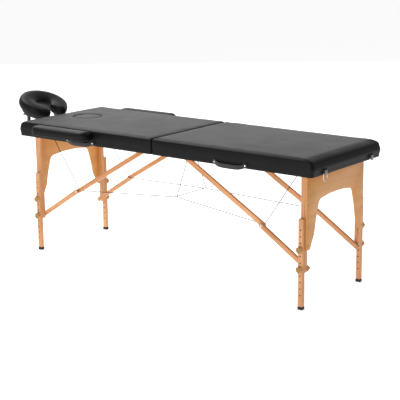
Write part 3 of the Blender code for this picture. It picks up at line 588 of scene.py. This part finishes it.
def rounded_outline(low, high, radii, inset, steps=6):
    """A rectangle seen from above; radii are its corners' from (low, low) counter-clockwise."""
    x0, y0, x1, y1 = low[0] + inset, low[1] + inset, high[0] - inset, high[1] - inset
    quarter = math.pi / 2
    points = []
    corners = [(x0, y0, 1, 1, 2), (x1, y0, -1, 1, 3), (x1, y1, -1, -1, 4), (x0, y1, 1, -1, 5)]
    for (x, y, sx, sy, turn), radius in zip(corners, radii):
        r = max(0.002, radius - inset)
        middle = (x + sx * r, y + sy * r)
        points += arc(middle, r, r, turn * quarter, (turn + 1) * quarter, steps)
    return points


def dress(node, material, bevel):
    """A CAD node kept as it is, with its edges eased and a better material."""
    obj = frame["nodes"][node]
    obj.data.materials.clear()
    obj.data.materials.append(MATERIALS[material])
    for polygon in obj.data.polygons:
        polygon.use_smooth = True
    set_all(obj.modifiers.new("weld", "WELD"), merge_threshold=0.00002)
    set_all(
        obj.modifiers.new("eased_edges", "BEVEL"),
        width=bevel,
        segments=2,
        limit_method="ANGLE",
        angle_limit=math.radians(32),
        use_clamp_overlap=True,
        harden_normals=True,
    )


# ---- cloth


SOFT = []
CLOTH_STEPS = 20


def puff_later(obj, cap, pressure, pinned=None, levels=1):
    """Puts a piece in the one cloth simulation that simulate() runs."""
    SOFT.append((obj, cap, levels))
    cloth = obj.modifiers.new("cloth", "CLOTH")
    set_all(
        cloth.settings,
        quality=5,
        mass=0.35,
        tension_stiffness=20,
        compression_stiffness=20,
        bending_stiffness=2.0,
        air_damping=4.0,
        use_pressure=True,
        uniform_pressure_force=pressure,
    )
    cloth.settings.effector_weights.gravity = 0.0
    if pinned is not None:
        group = obj.vertex_groups.new(name="held")
        group.add(pinned, 1.0, "ADD")
        cloth.settings.vertex_group_mass = "held"
    cloth.point_cache.frame_end = CLOTH_STEPS


def simulate():
    """Steps the cloth, then fixes each piece at its shape.

    No point moves further than the piece's cap, and none moves inward.
    """
    scene = bpy.context.scene
    for step in range(1, CLOTH_STEPS + 1):
        scene.frame_set(step)
    graph = bpy.context.evaluated_depsgraph_get()
    for obj, cap, levels in SOFT:
        rest = np.array([v.co for v in obj.data.vertices])
        moved = obj.evaluated_get(graph).to_mesh()
        puffed = np.array([v.co for v in moved.vertices])
        shift = puffed - rest
        normals = np.array([v.normal for v in obj.data.vertices])
        inward = np.minimum(0.0, np.sum(shift * normals, axis=1, keepdims=True))
        shift -= normals * inward
        length = np.linalg.norm(shift, axis=1, keepdims=True)
        capped = cap * np.tanh(length / cap) / np.maximum(length, 1e-9)
        final = rest + shift * np.where(length > 1e-9, capped, 1.0)
        obj.modifiers.clear()
        obj.data.vertices.foreach_set("co", final.astype(np.float32).ravel())
        obj.data.update()
        if levels:
            smooth = obj.modifiers.new("smooth", "SUBSURF")
            smooth.levels = smooth.render_levels = levels
    scene.frame_set(1)


def apply_modifiers(obj):
    graph = bpy.context.evaluated_depsgraph_get()
    mesh = bpy.data.meshes.new_from_object(obj.evaluated_get(graph))
    obj.modifiers.clear()
    mesh.shade_smooth()
    obj.data = mesh


def remesh(obj, voxel):
    """The same closed shape in even quads."""
    set_all(obj.modifiers.new("remesh", "REMESH"), mode="VOXEL", voxel_size=voxel)
    apply_modifiers(obj)


# ---- pads


def roll_drop(distance, roll):
    """How far the top has dropped at a distance from an edge with an elliptical roll."""
    reach, depth = roll
    if distance >= reach:
        return 0.0
    return depth * (1 - math.sqrt(max(0.0, 1 - (1 - distance / reach) ** 2)))


def edge_spaced(length):
    """Positions from 0 to length that crowd together toward both ends."""
    steps = max(2, round((length - 2 * EDGE_REACH) / GRID_STEP) + 1)
    middle = np.linspace(EDGE_REACH, length - EDGE_REACH, steps)
    return EDGE_STEPS + list(middle) + [length - n for n in reversed(EDGE_STEPS)]


def round_plan(x, y, length, half):
    """Moves a point of a rectangle so that its corners become round.

    x runs from 0 at the fold to length at the end.
    """
    corner = FOLD_CORNER if x < length / 2 else END_CORNER
    inner_x = min(max(x, corner), length - corner)
    inner_y = min(max(y, corner - half), half - corner)
    dx, dy = x - inner_x, y - inner_y
    if abs(dx) > 1e-9 and abs(dy) > 1e-9:
        shrink = max(abs(dx), abs(dy)) / math.hypot(dx, dy)
        return inner_x + dx * shrink, inner_y + dy * shrink
    return x, y


def pad_height(x, y, length, half, along, across):
    """Height of the padded top over a point, crowned in the middle and rolled at the edges."""
    drop = math.sqrt(
        roll_drop(length - along, END_ROLL) ** 2
        + roll_drop(along, FOLD_ROLL) ** 2
        + roll_drop(half - abs(across), SIDE_ROLL) ** 2
    )
    crown = CROWN * (1 - (2 * along / length - 1) ** 2) * (1 - (across / half) ** 2)
    ripple = noise.noise(Vector((x * 9, y * 11, 0.3))) * 0.0005
    ripple += noise.noise(Vector((x * 31, y * 27, 4.1))) * 0.00018
    return TOP_Z - SKIN - drop + crown + ripple


def boundary_loop(columns, rows):
    """Grid positions round the edge of a block of the grid, in order."""
    (i0, i1), (j0, j1) = columns, rows
    loop = [(i, j0) for i in range(i0, i1)]
    loop += [(i1, j) for j in range(j0, j1)]
    loop += [(i, j1) for i in range(i1, i0, -1)]
    loop += [(i0, j) for j in range(j1, j0, -1)]
    return loop


def stack_rings(verts, faces, loop, rings, held_from):
    """Carries a loop of points on through rings, and returns the points held in the cloth."""
    held = []
    for number, ring in enumerate(rings):
        start = len(verts)
        verts.extend(ring)
        for i in range(len(loop)):
            after = (i + 1) % len(loop)
            faces.append((loop[i], loop[after], start + after, start + i))
        loop = [start + i for i in range(len(loop))]
        if number >= held_from:
            held += loop
    return held


def side_wall(verts, faces, loop, fold_x, half_name):
    """Carries the top's rim down the side, and under the rail except at the fold."""
    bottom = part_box(half_name + "_frame")[0].z
    rim = [verts[k] for k in loop]
    count = len(loop)
    centre = sum(rim, Vector()) / count
    normals = []
    for i in range(count):
        tangent = rim[(i + 1) % count] - rim[i - 1]
        normal = Vector((tangent.y, -tangent.x, 0.0)).normalized()
        normals.append(-normal if normal.dot(rim[i] - centre) < 0 else normal)
    rings = []
    levels = [(0.16, 0.75), (0.34, 1.0), (0.52, 0.70), (0.66, 0.22), (0.82, 0.0), (1.0, -0.1)]
    for share, bulge in levels:
        ring = []
        for normal, point in zip(normals, rim):
            z = point.z + (bottom - SKIN - point.z) * share
            away = min(1.0, abs(point.x - fold_x) / 0.06)
            swell = (SIDE_BULGE + (END_BULGE - SIDE_BULGE) * abs(normal.x)) * away
            pucker = 0.0003 * math.sin(point.x * 95 + point.y * 88) * share * away
            p = point + normal * (bulge * swell + max(0.0, pucker))
            ring.append(Vector((p.x, p.y, z)))
        rings.append(ring)
    under = []
    for normal, point in zip(normals, rim):
        at_fold = abs(point.x - fold_x) < 0.004
        p = point - normal * (0.0004 if at_fold else 0.012)
        under.append(Vector((p.x, p.y, bottom - TUCK + (TUCK if at_fold else 0.0))))
    rings.append(under)
    return stack_rings(verts, faces, loop, rings, 3)


def hole_walls(verts, faces, loop, centre, radii):
    """Rings from a square block of the grid in to the oval hole, over its rim and down."""
    oval = []
    for k in loop:
        angle = math.atan2(verts[k].y - centre.y, verts[k].x - centre.x)
        c, s = math.cos(angle), math.sin(angle)
        oval.append((c, s, 1 / math.hypot(c / radii[0], s / radii[1])))
    rings = []
    for step in (0.25, 0.5, 0.75, 0.92):
        ring = []
        for k, (c, s, reach) in zip(loop, oval):
            far = (verts[k] - centre).to_2d().length
            r = far + (reach + FACE_HOLE_RIM - far) * step
            ring.append(Vector((centre.x + c * r, centre.y + s * r, verts[k].z)))
        rings.append(ring)
    turns = [math.pi / 2 * step / 5 for step in range(6)]
    lips = [
        (FACE_HOLE_RIM * (1 - math.sin(turn)), FACE_HOLE_RIM * (1 - math.cos(turn)))
        for turn in turns
    ]
    for out, down in lips + [(0.0, 0.014), (0.0, 0.022), (0.0, 0.031)]:
        ring = []
        for c, s, reach in oval:
            r = reach + out
            ring.append(Vector((centre.x + c * r, centre.y + s * r, centre.z - down)))
        rings.append(ring)
    return stack_rings(verts, faces, loop, rings, 6)


def make_pad(half_name, side):
    """One leather cover: rolled top, side walls, a tuck under the rails and a hole at the head."""
    low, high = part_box(half_name + "_cover")
    length, half = high.x - low.x, high.y
    fold_x = low.x if side > 0 else high.x
    xs, ys = edge_spaced(length), [y - half for y in edge_spaced(2 * half)]
    verts, faces, index = [], [], {}
    for i, along in enumerate(xs):
        for j, across in enumerate(ys):
            x, y = round_plan(along, across, length, half)
            index[i, j] = len(verts)
            z = pad_height(x, y, length, half, along, across)
            verts.append(Vector((fold_x + side * x, y, z)))
    hidden = set()
    pinned = []
    if side < 0:
        low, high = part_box("face_hole_plug")
        centre = Vector(((low.x + high.x) / 2, 0.0, TOP_Z + CROWN * 0.5 - SKIN))
        reach = (high.x - low.x) / 2 + FACE_HOLE_BLOCK
        along = side * (centre.x - fold_x)
        inside_x = [i for i, x in enumerate(xs) if abs(x - along) < reach]
        inside_y = [j for j, y in enumerate(ys) if abs(y) < reach]
        columns, rows = (inside_x[0], inside_x[-1]), (inside_y[0], inside_y[-1])
        hidden = {(i, j) for i in range(*columns) for j in range(*rows)}
        radii = ((high.x - low.x) / 2 + FACE_HOLE_GAP, (high.y - low.y) / 2 + FACE_HOLE_GAP)
        loop = [index[place] for place in boundary_loop(columns, rows)]
        pinned += hole_walls(verts, faces, loop, centre, radii)
    for i in range(len(xs) - 1):
        for j in range(len(ys) - 1):
            if (i, j) not in hidden:
                faces.append((index[i, j], index[i + 1, j], index[i + 1, j + 1], index[i, j + 1]))
    rim = boundary_loop((0, len(xs) - 1), (0, len(ys) - 1))
    pinned += side_wall(verts, faces, [index[place] for place in rim], fold_x, half_name)
    pad = add_mesh(half_name + "_pad", verts, faces, "leather")
    pinned = clean_skin(pad.data, pinned)
    puff_later(pad, cap=0.0022, pressure=1.2, pinned=pinned, levels=0)
    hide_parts(half_name + "_cover", half_name + "_foam")
    return pad


def clean_skin(mesh, pinned):
    """Takes out points that no face uses and turns the skin's top upward.

    Returns the pinned points by their new numbers.
    """
    values = np.zeros(len(mesh.vertices), np.int32)
    values[pinned] = 1
    mesh.attributes.new("held", "INT", "POINT").data.foreach_set("value", values)
    bm = bmesh.new()
    bm.from_mesh(mesh)
    loose = [v for v in bm.verts if not v.link_faces]
    bmesh.ops.delete(bm, geom=loose, context="VERTS")
    top = max(bm.faces, key=lambda face: face.calc_center_median().z)
    if top.normal.z < 0:
        bmesh.ops.reverse_faces(bm, faces=bm.faces)
    bm.to_mesh(mesh)
    bm.free()
    held = np.zeros(len(mesh.vertices), np.int32)
    mesh.attributes["held"].data.foreach_get("value", held)
    mesh.attributes.remove(mesh.attributes["held"])
    return [int(i) for i in np.flatnonzero(held)]


def finish_pad(pad, body):
    """Gives the simulated skin its thickness; it is then ready to ride."""
    shell = pad.modifiers.new("thickness", "SOLIDIFY")
    set_all(shell, thickness=SKIN, offset=-1.0, use_rim=True)
    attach(pad, body)


# ---- seams


def surface_of(obj):
    graph = bpy.context.evaluated_depsgraph_get()
    return BVHTree.FromObject(obj.evaluated_get(graph), graph)


def seam_along(name, guesses, tree, body, closed=True, lift=0.0001):
    """A welt along the nearest points of a surface to a list of guesses."""
    points = []
    for guess in guesses:
        spot, normal, _, _ = tree.find_nearest(guess)
        points.append(spot + normal * lift)
    seam = tube(name, points, SEAM_RADIUS, "leather_seam", sides=8, closed=closed)
    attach(seam, body)


def make_corner_seams(half_name, side, pad):
    """A welt where the end flap is sewn to the side at each outer corner."""
    low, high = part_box(half_name + "_cover")
    end_x = high.x if side > 0 else low.x
    tree = surface_of(pad)
    for hand, sign in SIDES.items():
        guesses = []
        for i in range(24):
            t = i / 23
            inward = 0.0053 + 0.020 * max(0.0, t - 0.62) ** 1.5
            z = low.z + 0.001 + 0.056 * t
            guesses.append(Vector((end_x - side * inward, sign * (high.y - inward), z)))
        name = f"{half_name}_{hand}_corner_seam"
        seam_along(name, guesses, tree, half_name + "_half", closed=False, lift=0.0002)


def make_cushion_seams(cushion):
    """Two welts round the cushion, where its side band meets the top and the bottom."""
    tree = surface_of(cushion)
    for name, rise in (("top", 0.0325), ("bottom", -0.0325)):
        guesses = []
        for i in range(121):
            spot, along = cushion_spine(0.02 + 0.96 * i / 120)
            outward = along.cross(UP)
            guesses.append(CRADLE @ (spot + outward * 0.053 + UP * rise))
        seam_along(f"cradle_{name}_seam", guesses, tree, "headrest_cradle", closed=False)


def make_armrest_seam(hand, sign, armrest):
    """A welt round the armrest under its rolled edge."""
    low, corner_low, corner_high, radii, _ = armrest_plan(hand, sign)
    outline = rounded_outline(corner_low, corner_high, radii, 0.0, steps=10)
    dense = densify([Vector((x, y, low.z + 0.0345)) for x, y in outline], 0.006)
    seam_along(f"armrest_{hand}_seam", dense, surface_of(armrest), "armrest_" + hand)


def densify(points, step):
    """A closed loop with extra points so that none are further apart than the step."""
    made = []
    for a, b in zip(points, points[1:] + points[:1]):
        pieces = max(1, math.ceil((b - a).length / step))
        made += [a.lerp(b, i / pieces) for i in range(pieces)]
    return made


# ---- closed cushions


def make_plug():
    """The face hole's plug: a round upholstered cushion with a rolled rim."""
    low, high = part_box("face_hole_plug")
    centre = (low + high) / 2
    half_x, half_y = (high.x - low.x) / 2, (high.y - low.y) / 2
    rings = []
    levels = [
        (0.006, 0.0), (0.001, 0.0012), (0.0006, 0.010), (0.0006, 0.024),
        (0.0016, 0.0290), (0.0050, 0.0325), (0.0110, 0.0342), (0.030, 0.0352),
    ]
    for inset, rise in levels:
        outline = arc((centre.x, centre.y), half_x - inset, half_y - inset, 0, 2 * math.pi, 72)
        rings.append([Vector((x, y, low.z + rise)) for x, y in outline[:-1]])
    plug = loft("face_plug", rings, "leather")
    remesh(plug, 0.0035)
    puff_later(plug, cap=0.0007, pressure=2.5)
    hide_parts("face_hole_plug")
    return plug


def armrest_plan(hand, sign):
    """The padded block seen from above: its corners, their radii and its inner side's y."""
    low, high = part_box("armrest_" + hand)
    inner = min(abs(low.y), abs(high.y)) + PEG_REACH
    outer = max(abs(low.y), abs(high.y))
    y_low, y_high = (-outer, -inner) if sign < 0 else (inner, outer)
    radii = (OUTER_CORNER, OUTER_CORNER, INNER_CORNER, INNER_CORNER)
    return low, (low.x, y_low), (high.x, y_high), radii if sign < 0 else radii[::-1], inner


def make_armrest(hand, sign):
    """A padded armrest: crowned top with a soft front edge, flat underneath, and two pegs."""
    low, corner_low, corner_high, radii, inner = armrest_plan(hand, sign)
    levels = [
        (0.007, 0.0010), (0.0018, 0.0022), (0.0012, 0.010), (0.0012, 0.026), (0.0026, 0.034),
        (0.0065, 0.0405), (0.0125, 0.0450), (0.0205, 0.0478), (0.029, 0.0490),
    ]
    rings = []
    for inset, rise in levels:
        outline = rounded_outline(corner_low, corner_high, radii, inset)
        rings.append([Vector((x, y, low.z + rise)) for x, y in outline])
    armrest = loft(f"armrest_{hand}_pad", rings, "leather")
    remesh(armrest, 0.0040)
    puff_later(armrest, cap=0.0012, pressure=3.0)
    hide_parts("armrest_" + hand)
    middle = (corner_low[0] + corner_high[0]) / 2
    tip = 0.0265
    profile = [
        (0.0043, 0.0), (0.0043, tip - 0.0026), (0.0038, tip - 0.0012), (0.0024, tip - 0.0003),
        (0.0006, tip),
    ]
    for place, shift in (("inner", -PEG_SHIFT), ("outer", PEG_SHIFT)):
        start = (middle + shift, sign * (inner + 0.006), low.z + 0.005)
        name = f"armrest_{hand}_{place}_peg"
        peg = lathe(name, profile, start, (0, -sign, 0), "steel", sides=24)
        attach(peg, "armrest_" + hand)
    return armrest


def cushion_spine(t):
    """A point and direction of the horseshoe's centre line, t from 0 to 1."""
    angle = CUSHION_START + (2 * math.pi - 2 * CUSHION_START) * t
    x = CUSHION_CENTRE[0] + CUSHION_RADII[0] * math.cos(angle)
    y = CUSHION_RADII[1] * math.sin(angle)
    along = Vector((-CUSHION_RADII[0] * math.sin(angle), CUSHION_RADII[1] * math.cos(angle), 0))
    return Vector((x, y, CUSHION_CENTRE[2])), along.normalized()


def make_cushion():
    """The cradle's horseshoe cushion: a plump, slightly boxy section with domed ends."""
    rings = []
    for i in range(97):
        t = i / 96
        spot, along = cushion_spine(t)
        outward = along.cross(UP)
        near_end = min(1.0, min(t, 1 - t) / CUSHION_DOME)
        plump = math.sqrt(max(0.02, 1 - (1 - near_end) ** 2.6))
        ring = []
        for _, c, s in circle(40):
            wide = math.copysign(abs(c) ** 0.78, c) * CUSHION_SECTION[0] * plump
            tall = math.copysign(abs(s) ** 0.74, s) * CUSHION_SECTION[1] * (0.35 + 0.65 * plump)
            if s > 0:
                tall *= 1 - CUSHION_DISH * (0.5 - 0.5 * wide / CUSHION_SECTION[0])
            ring.append(CRADLE @ (spot + outward * wide + UP * tall))
        rings.append(ring)
    cushion = loft("cradle_cushion", rings, "leather")
    remesh(cushion, 0.0040)
    puff_later(cushion, cap=0.0016, pressure=4.0)
    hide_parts("headrest_cushion")
    return cushion


# ---- cables


def make_cables():
    for half, route in CABLES.items():
        points = [(FOLD_X + x, y, z) for x, y, z in route]
        path = rounded_path(points, 0.006)
        cable = tube(f"{half}_stay_cable", path, CABLE_RADIUS, "cable")
        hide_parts(f"{half}_cable")
        slacken(cable, half)
        make_crimps(half, points)


def slacken(piece, half):
    """Rides on the half, with a mesh of its own."""
    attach(piece, f"{half}_half")
    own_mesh(piece)


def make_crimps(half, points):
    """Crimped ferrules by the knots, and the rings that tie the two cables together."""
    profile = [
        (0.0012, 0.0), (0.0021, 0.0004), (0.0021, 0.0036), (0.0016, 0.0050),
        (0.0021, 0.0064), (0.0021, 0.0096), (0.0012, 0.0100),
    ]
    for number, (knot, before) in enumerate(((points[2], points[1]), (points[-3], points[-2]))):
        direction = (Vector(before) - Vector(knot)).normalized()
        start = Vector(knot) + direction * 0.007
        ferrule = lathe(f"{half}_ferrule_{number}", profile, start, direction, "aluminium", 16)
        slacken(ferrule, half)
        if half == "head":
            circle = arc((-0.0100, 0.0), 0.0055, 0.0055, 0, 2 * math.pi, 24)[:-1]
            loop = [(FOLD_X + x, knot[1], knot[2] + z) for x, z in circle]
            ring = tube(f"knot_ring_{number}", loop, 0.0008, "steel", sides=8, closed=True)
            slacken(ring, half)


def make_cable_anchors():
    """Eye screws where the cables start by the leg pivots."""
    profile = [
        (0.0010, -0.0015), (0.0040, -0.0012), (0.0044, 0.0), (0.0030, 0.0014), (0.0024, 0.0040)
    ]
    for half, side in HALVES.items():
        for hand, sign in SIDES.items():
            place = (FOLD_X + side * CABLE_START_X, sign * CABLE_Y, 0.6745)
            eye = lathe(f"{half}_{hand}_cable_eye", profile, place, (0, 0, -1), "steel", 16)
            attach(eye, half + "_half")


# ---- wood and hardware


def dress_frame():
    looks = {
        "hinge_pin": ("steel", 0.0003),
        "headrest_platform": ("platform", 0.0012),
        "headrest_base": ("dark_metal", 0.0005),
        "headrest_lever": ("aluminium", 0.0008),
    }
    for half in HALVES:
        looks[f"{half}_frame"] = ("rail_x", 0.0012)
        looks[f"{half}_deck"] = ("deck", 0.0006)
        looks[f"{half}_hinge_leaf"] = ("steel", 0.0003)
        looks[f"{half}_end_panel"] = ("panel", 0.0012)
        for hand in SIDES:
            looks[f"{half}_{hand}_leg"] = ("leg", 0.0016)
            looks[f"{half}_{hand}_rubber_foot"] = ("rubber", 0.0014)
            for bar in ("upper", "lower"):
                looks[f"{half}_{hand}_{bar}_brace"] = (f"{half}_{bar}", 0.0014)
    for hand in SIDES:
        looks[f"latch_base_{hand}"] = ("black_plastic", 0.0003)
        looks[f"latch_lever_{hand}"] = ("lever_chrome", 0.0003)
        looks[f"latch_strike_{hand}"] = ("chrome", 0.0003)
    for node, (material, bevel) in looks.items():
        dress(node, material, bevel)


def bevelled_bar(name, low, high, bevel, material):
    """A square bar with eased long edges and ends."""
    mesh = bpy.data.meshes.new(name)
    bm = bmesh.new()
    bmesh.ops.create_cube(bm, size=1.0)
    for vert in bm.verts:
        for axis in range(3):
            vert.co[axis] = (low[axis] + high[axis]) / 2 + vert.co[axis] * (high[axis] - low[axis])
    edges = list(bm.edges)
    bmesh.ops.bevel(bm, geom=edges, offset=bevel, segments=3, profile=0.5, affect="EDGES")
    bm.to_mesh(mesh)
    bm.free()
    mesh.materials.append(MATERIALS[material])
    return link_new(name, mesh)


def make_extension(half, hand):
    """The sliding lower leg, with its real row of round height holes, whose walls carry a painted
    near-black shade.
    """
    node = f"{half}_{hand}_extension"
    low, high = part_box(node)
    bar = bevelled_bar(f"{half}_{hand}_sliding_leg", low, high, 0.0018, "leg")
    middle = (low + high) / 2
    holes = bmesh.new()
    for i in range(HOLE_COUNT):
        place = Matrix.Translation((middle.x, middle.y, LOWEST_HOLE_Z + i * HOLE_PITCH))
        bmesh.ops.create_cone(
            holes,
            cap_ends=True,
            segments=20,
            radius1=HOLE_RADIUS,
            radius2=HOLE_RADIUS,
            depth=0.05,
            matrix=place @ Matrix.Rotation(math.pi / 2, 4, "X"),
        )
    mesh = bpy.data.meshes.new("height_holes")
    holes.to_mesh(mesh)
    holes.free()
    # The hole walls take this painted shade through the boolean's material transfer.
    mesh.materials.append(MATERIALS["hole_insert"])
    drill = link_new("height_holes", mesh)
    cut = bar.modifiers.new("holes", "BOOLEAN")
    set_all(cut, operation="DIFFERENCE", object=drill, solver="EXACT", material_mode="TRANSFER")
    apply_modifiers(bar)
    bpy.data.objects.remove(drill)
    bar.data.set_sharp_from_angle(angle=math.radians(25))
    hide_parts(node)
    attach(bar, node)


def make_knob(half, hand, sign, level):
    """A turned wooden star knob with softly rounded lobes, and its threaded stud."""
    node = f"{half}_{hand}_{level}_knob"
    low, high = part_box(node)
    centre = Vector(JOINTS[node + "_turn"]["pos_m"])
    outer = high.y if sign > 0 else -low.y
    stud_end = abs(low.y if sign > 0 else high.y)
    rings = []
    for share, rise, lobes in KNOB_LEVELS:
        ring = []
        for angle, c, s in circle(84):
            reach = share * (KNOB_RADIUS + 0.0016 * lobes * math.cos(7 * angle))
            y = sign * (outer - KNOB_THICKNESS + rise)
            ring.append(Vector((centre.x + reach * c, y, centre.z + reach * s)))
        rings.append(ring)
    knob = loft(f"{half}_{hand}_{level}_star_knob", rings, "knob")
    length = outer - 0.0050 - stud_end
    profile = [(0.0024, 0.0), (0.0030, 0.0008)]
    for i in range(1, int(length / THREAD_PITCH)):
        profile.append((0.0030 if i % 2 else 0.00275, 0.0008 + i * THREAD_PITCH))
    profile.append((0.0030, length))
    start = (centre.x, sign * stud_end, centre.z)
    stud = lathe(f"{half}_{hand}_{level}_stud", profile, start, (0, sign, 0), "steel", 18)
    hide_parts(node)
    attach(knob, node)
    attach(stud, node)


def make_panel_screws(half, side):
    """Pan-head screws through the panel's arms into the legs."""
    low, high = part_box(half + "_end_panel")
    face = high.x if side > 0 else low.x
    for hand, sign in SIDES.items():
        for number, z in enumerate((0.587, 0.487, 0.387, 0.300)):
            name, place = f"{half}_{hand}_panel_screw_{number}", (face, sign * 0.2395, z)
            screw(name, place, (side, 0, 0), 0.0028, half + "_leg_frame", "dark_metal")


def make_elbow_rivet(half, side, hand, sign):
    """A flat rivet head on the outer side of each elbow."""
    low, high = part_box(f"{half}_{hand}_lower_brace")
    face = high.y if sign > 0 else -low.y
    place = (FOLD_X + side * ELBOW_X, sign * face, ELBOW_Z)
    profile = [(0.0058, -0.0004), (0.0060, 0.0001), (0.0046, 0.0003), (0.0012, 0.0003)]
    rivet = lathe(f"{half}_{hand}_elbow_rivet", profile, place, (0, sign, 0), "steel", 24)
    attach(rivet, f"{half}_{hand}_lower_brace")


def make_handle(half):
    """A webbing strap that bellies out and down between two riveted end caps."""
    low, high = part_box(half + "_handle")
    centre_x = (low.x + high.x) / 2
    span = (high.x - low.x) / 2 - 0.012
    cap_z = high.z - 0.012
    back_y = high.y
    rows, columns = 9, 49
    verts, faces = [], []
    for thickness in (0.0, 0.0024):
        for i in range(columns):
            u = 2 * i / (columns - 1) - 1
            slack = 1 - u**4
            for j in range(rows):
                v = 2 * j / (rows - 1) - 1
                cup = 0.0009 * (1 - v * v)
                y = back_y - 0.0030 - 0.011 * slack - cup + thickness
                z = cap_z + 0.0098 * v - 0.0125 * slack
                verts.append(Vector((centre_x + u * span, y, z)))
    size = rows * columns
    for layer in (0, size):
        for i in range(columns - 1):
            for j in range(rows - 1):
                a = layer + i * rows + j
                faces.append((a, a + 1, a + rows + 1, a + rows))
    loop = [i * rows + j for i, j in boundary_loop((0, columns - 1), (0, rows - 1))]
    for a, b in zip(loop, loop[1:] + loop[:1]):
        faces.append((a, b, b + size, a + size))
    strap = add_mesh(half + "_strap", verts, faces, "webbing")
    strap.data.set_sharp_from_angle(angle=math.radians(50))
    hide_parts(half + "_handle")
    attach(strap, half + "_half")
    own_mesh(strap)
    profile = [
        (0.0112, 0.0), (0.0118, 0.0006), (0.0118, 0.0036), (0.0112, 0.0050), (0.0100, 0.0058),
        (0.0062, 0.0060), (0.0056, 0.0052), (0.0040, 0.0052),
    ]
    outward = (0, -1, 0)
    for number, end in enumerate((-1, 1)):
        x = centre_x + end * span
        name = f"{half}_strap_cap_{number}"
        cap = lathe(name, profile, (x, back_y, cap_z), outward, "black_plastic", sides=40)
        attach(cap, half + "_half")
        head = (x, back_y - 0.0052, cap_z)
        name = f"{half}_strap_screw_{number}"
        screw(name, head, outward, 0.0042, half + "_half", height=0.0024)


def make_latch_details(hand):
    """The wire loop, rounded off, and the screws of base and strike."""
    low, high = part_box("latch_loop_" + hand)
    middle_x, radius = (low.x + high.x) / 2, (high.x - low.x) / 2
    corner_low = (low.y + radius, low.z + radius)
    corner_high = (high.y - radius, high.z - radius)
    outline = rounded_outline(corner_low, corner_high, LOOP_CORNERS, 0.0, 8)
    points = [(middle_x, y, z) for y, z in outline]
    loop = tube(f"latch_wire_{hand}", points, radius, "chrome", sides=14, closed=True)
    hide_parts("latch_loop_" + hand)
    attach(loop, "latch_loop_" + hand)
    low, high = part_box("latch_base_" + hand)
    place = (low.x + 0.0022, (low.y + high.y) / 2, high.z - 0.0035)
    screw(f"latch_screw_{hand}", place, (1, 0, 0), 0.0022, "foot_half")
    low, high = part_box("latch_strike_" + hand)
    for number, z in enumerate((low.z + 0.0045, high.z - 0.0035)):
        place = (high.x - 0.002, (low.y + high.y) / 2, z)
        screw(f"strike_screw_{hand}_{number}", place, (-1, 0, 0), 0.0022, "head_half")


def make_hinge_screws(half, side):
    """A row of screws along the hinge leaf, from below."""
    low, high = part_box(half + "_hinge_leaf")
    for number in range(8):
        y = low.y + 0.030 + number * (high.y - low.y - 0.060) / 7
        name, place = f"{half}_hinge_screw_{number}", (FOLD_X + side * 0.021, y, FOLD_Z + 0.0027)
        screw(name, place, (0, 0, -1), 0.0032, half + "_half", "steel", 0.0009)


def make_staples(half):
    """The row of staples that holds the cover's tuck under the side rails."""
    low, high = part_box(half + "_cover")
    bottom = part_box(half + "_frame")[0].z - TUCK
    levels = ((0.0050, 0.0003, bottom - 0.0005), (0.0054, 0.0004, bottom + 0.0006))
    count = 22
    for hand, sign in SIDES.items():
        verts, faces = [], []
        for i in range(count):
            x = low.x + 0.045 + i * (high.x - low.x - 0.09) / (count - 1)
            y = sign * (high.y - 0.0085)
            slant = 0.0012 * math.sin(i * 1.7)
            start = len(verts)
            for reach, width, z in levels:
                for a, b in ((-1, -1), (1, -1), (1, 1), (-1, 1)):
                    across = b * width + slant * a * reach / 0.005
                    verts.append(Vector((x + a * reach, y + across, z)))
            faces += bridge(start, start + 4, 4)
            faces += [tuple(range(start, start + 4)), tuple(range(start + 4, start + 8))]
        staples = add_mesh(f"{half}_{hand}_staples", verts, faces, "steel", smooth=False)
        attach(staples, half + "_half")


# ---- assembly


make_camera()
make_studio()
MATERIALS = make_materials()
make_cables()
make_cable_anchors()
dress_frame()

pads = {half: make_pad(half, side) for half, side in HALVES.items()}
plug = make_plug()
armrests = {hand: make_armrest(hand, sign) for hand, sign in SIDES.items()}
cushion = make_cushion()
simulate()

for half, side in HALVES.items():
    finish_pad(pads[half], half + "_half")
    make_corner_seams(half, side, pads[half])
    make_handle(half)
    make_panel_screws(half, side)
    make_hinge_screws(half, side)
    make_staples(half)
    for hand, sign in SIDES.items():
        make_extension(half, hand)
        make_elbow_rivet(half, side, hand, sign)
        for level in ("upper", "lower"):
            make_knob(half, hand, sign, level)
for hand, sign in SIDES.items():
    make_armrest_seam(hand, sign, armrests[hand])
    make_latch_details(hand)
    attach(armrests[hand], "armrest_" + hand)
make_cushion_seams(cushion)
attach(plug, "face_hole_plug")
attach(cushion, "headrest_cradle")
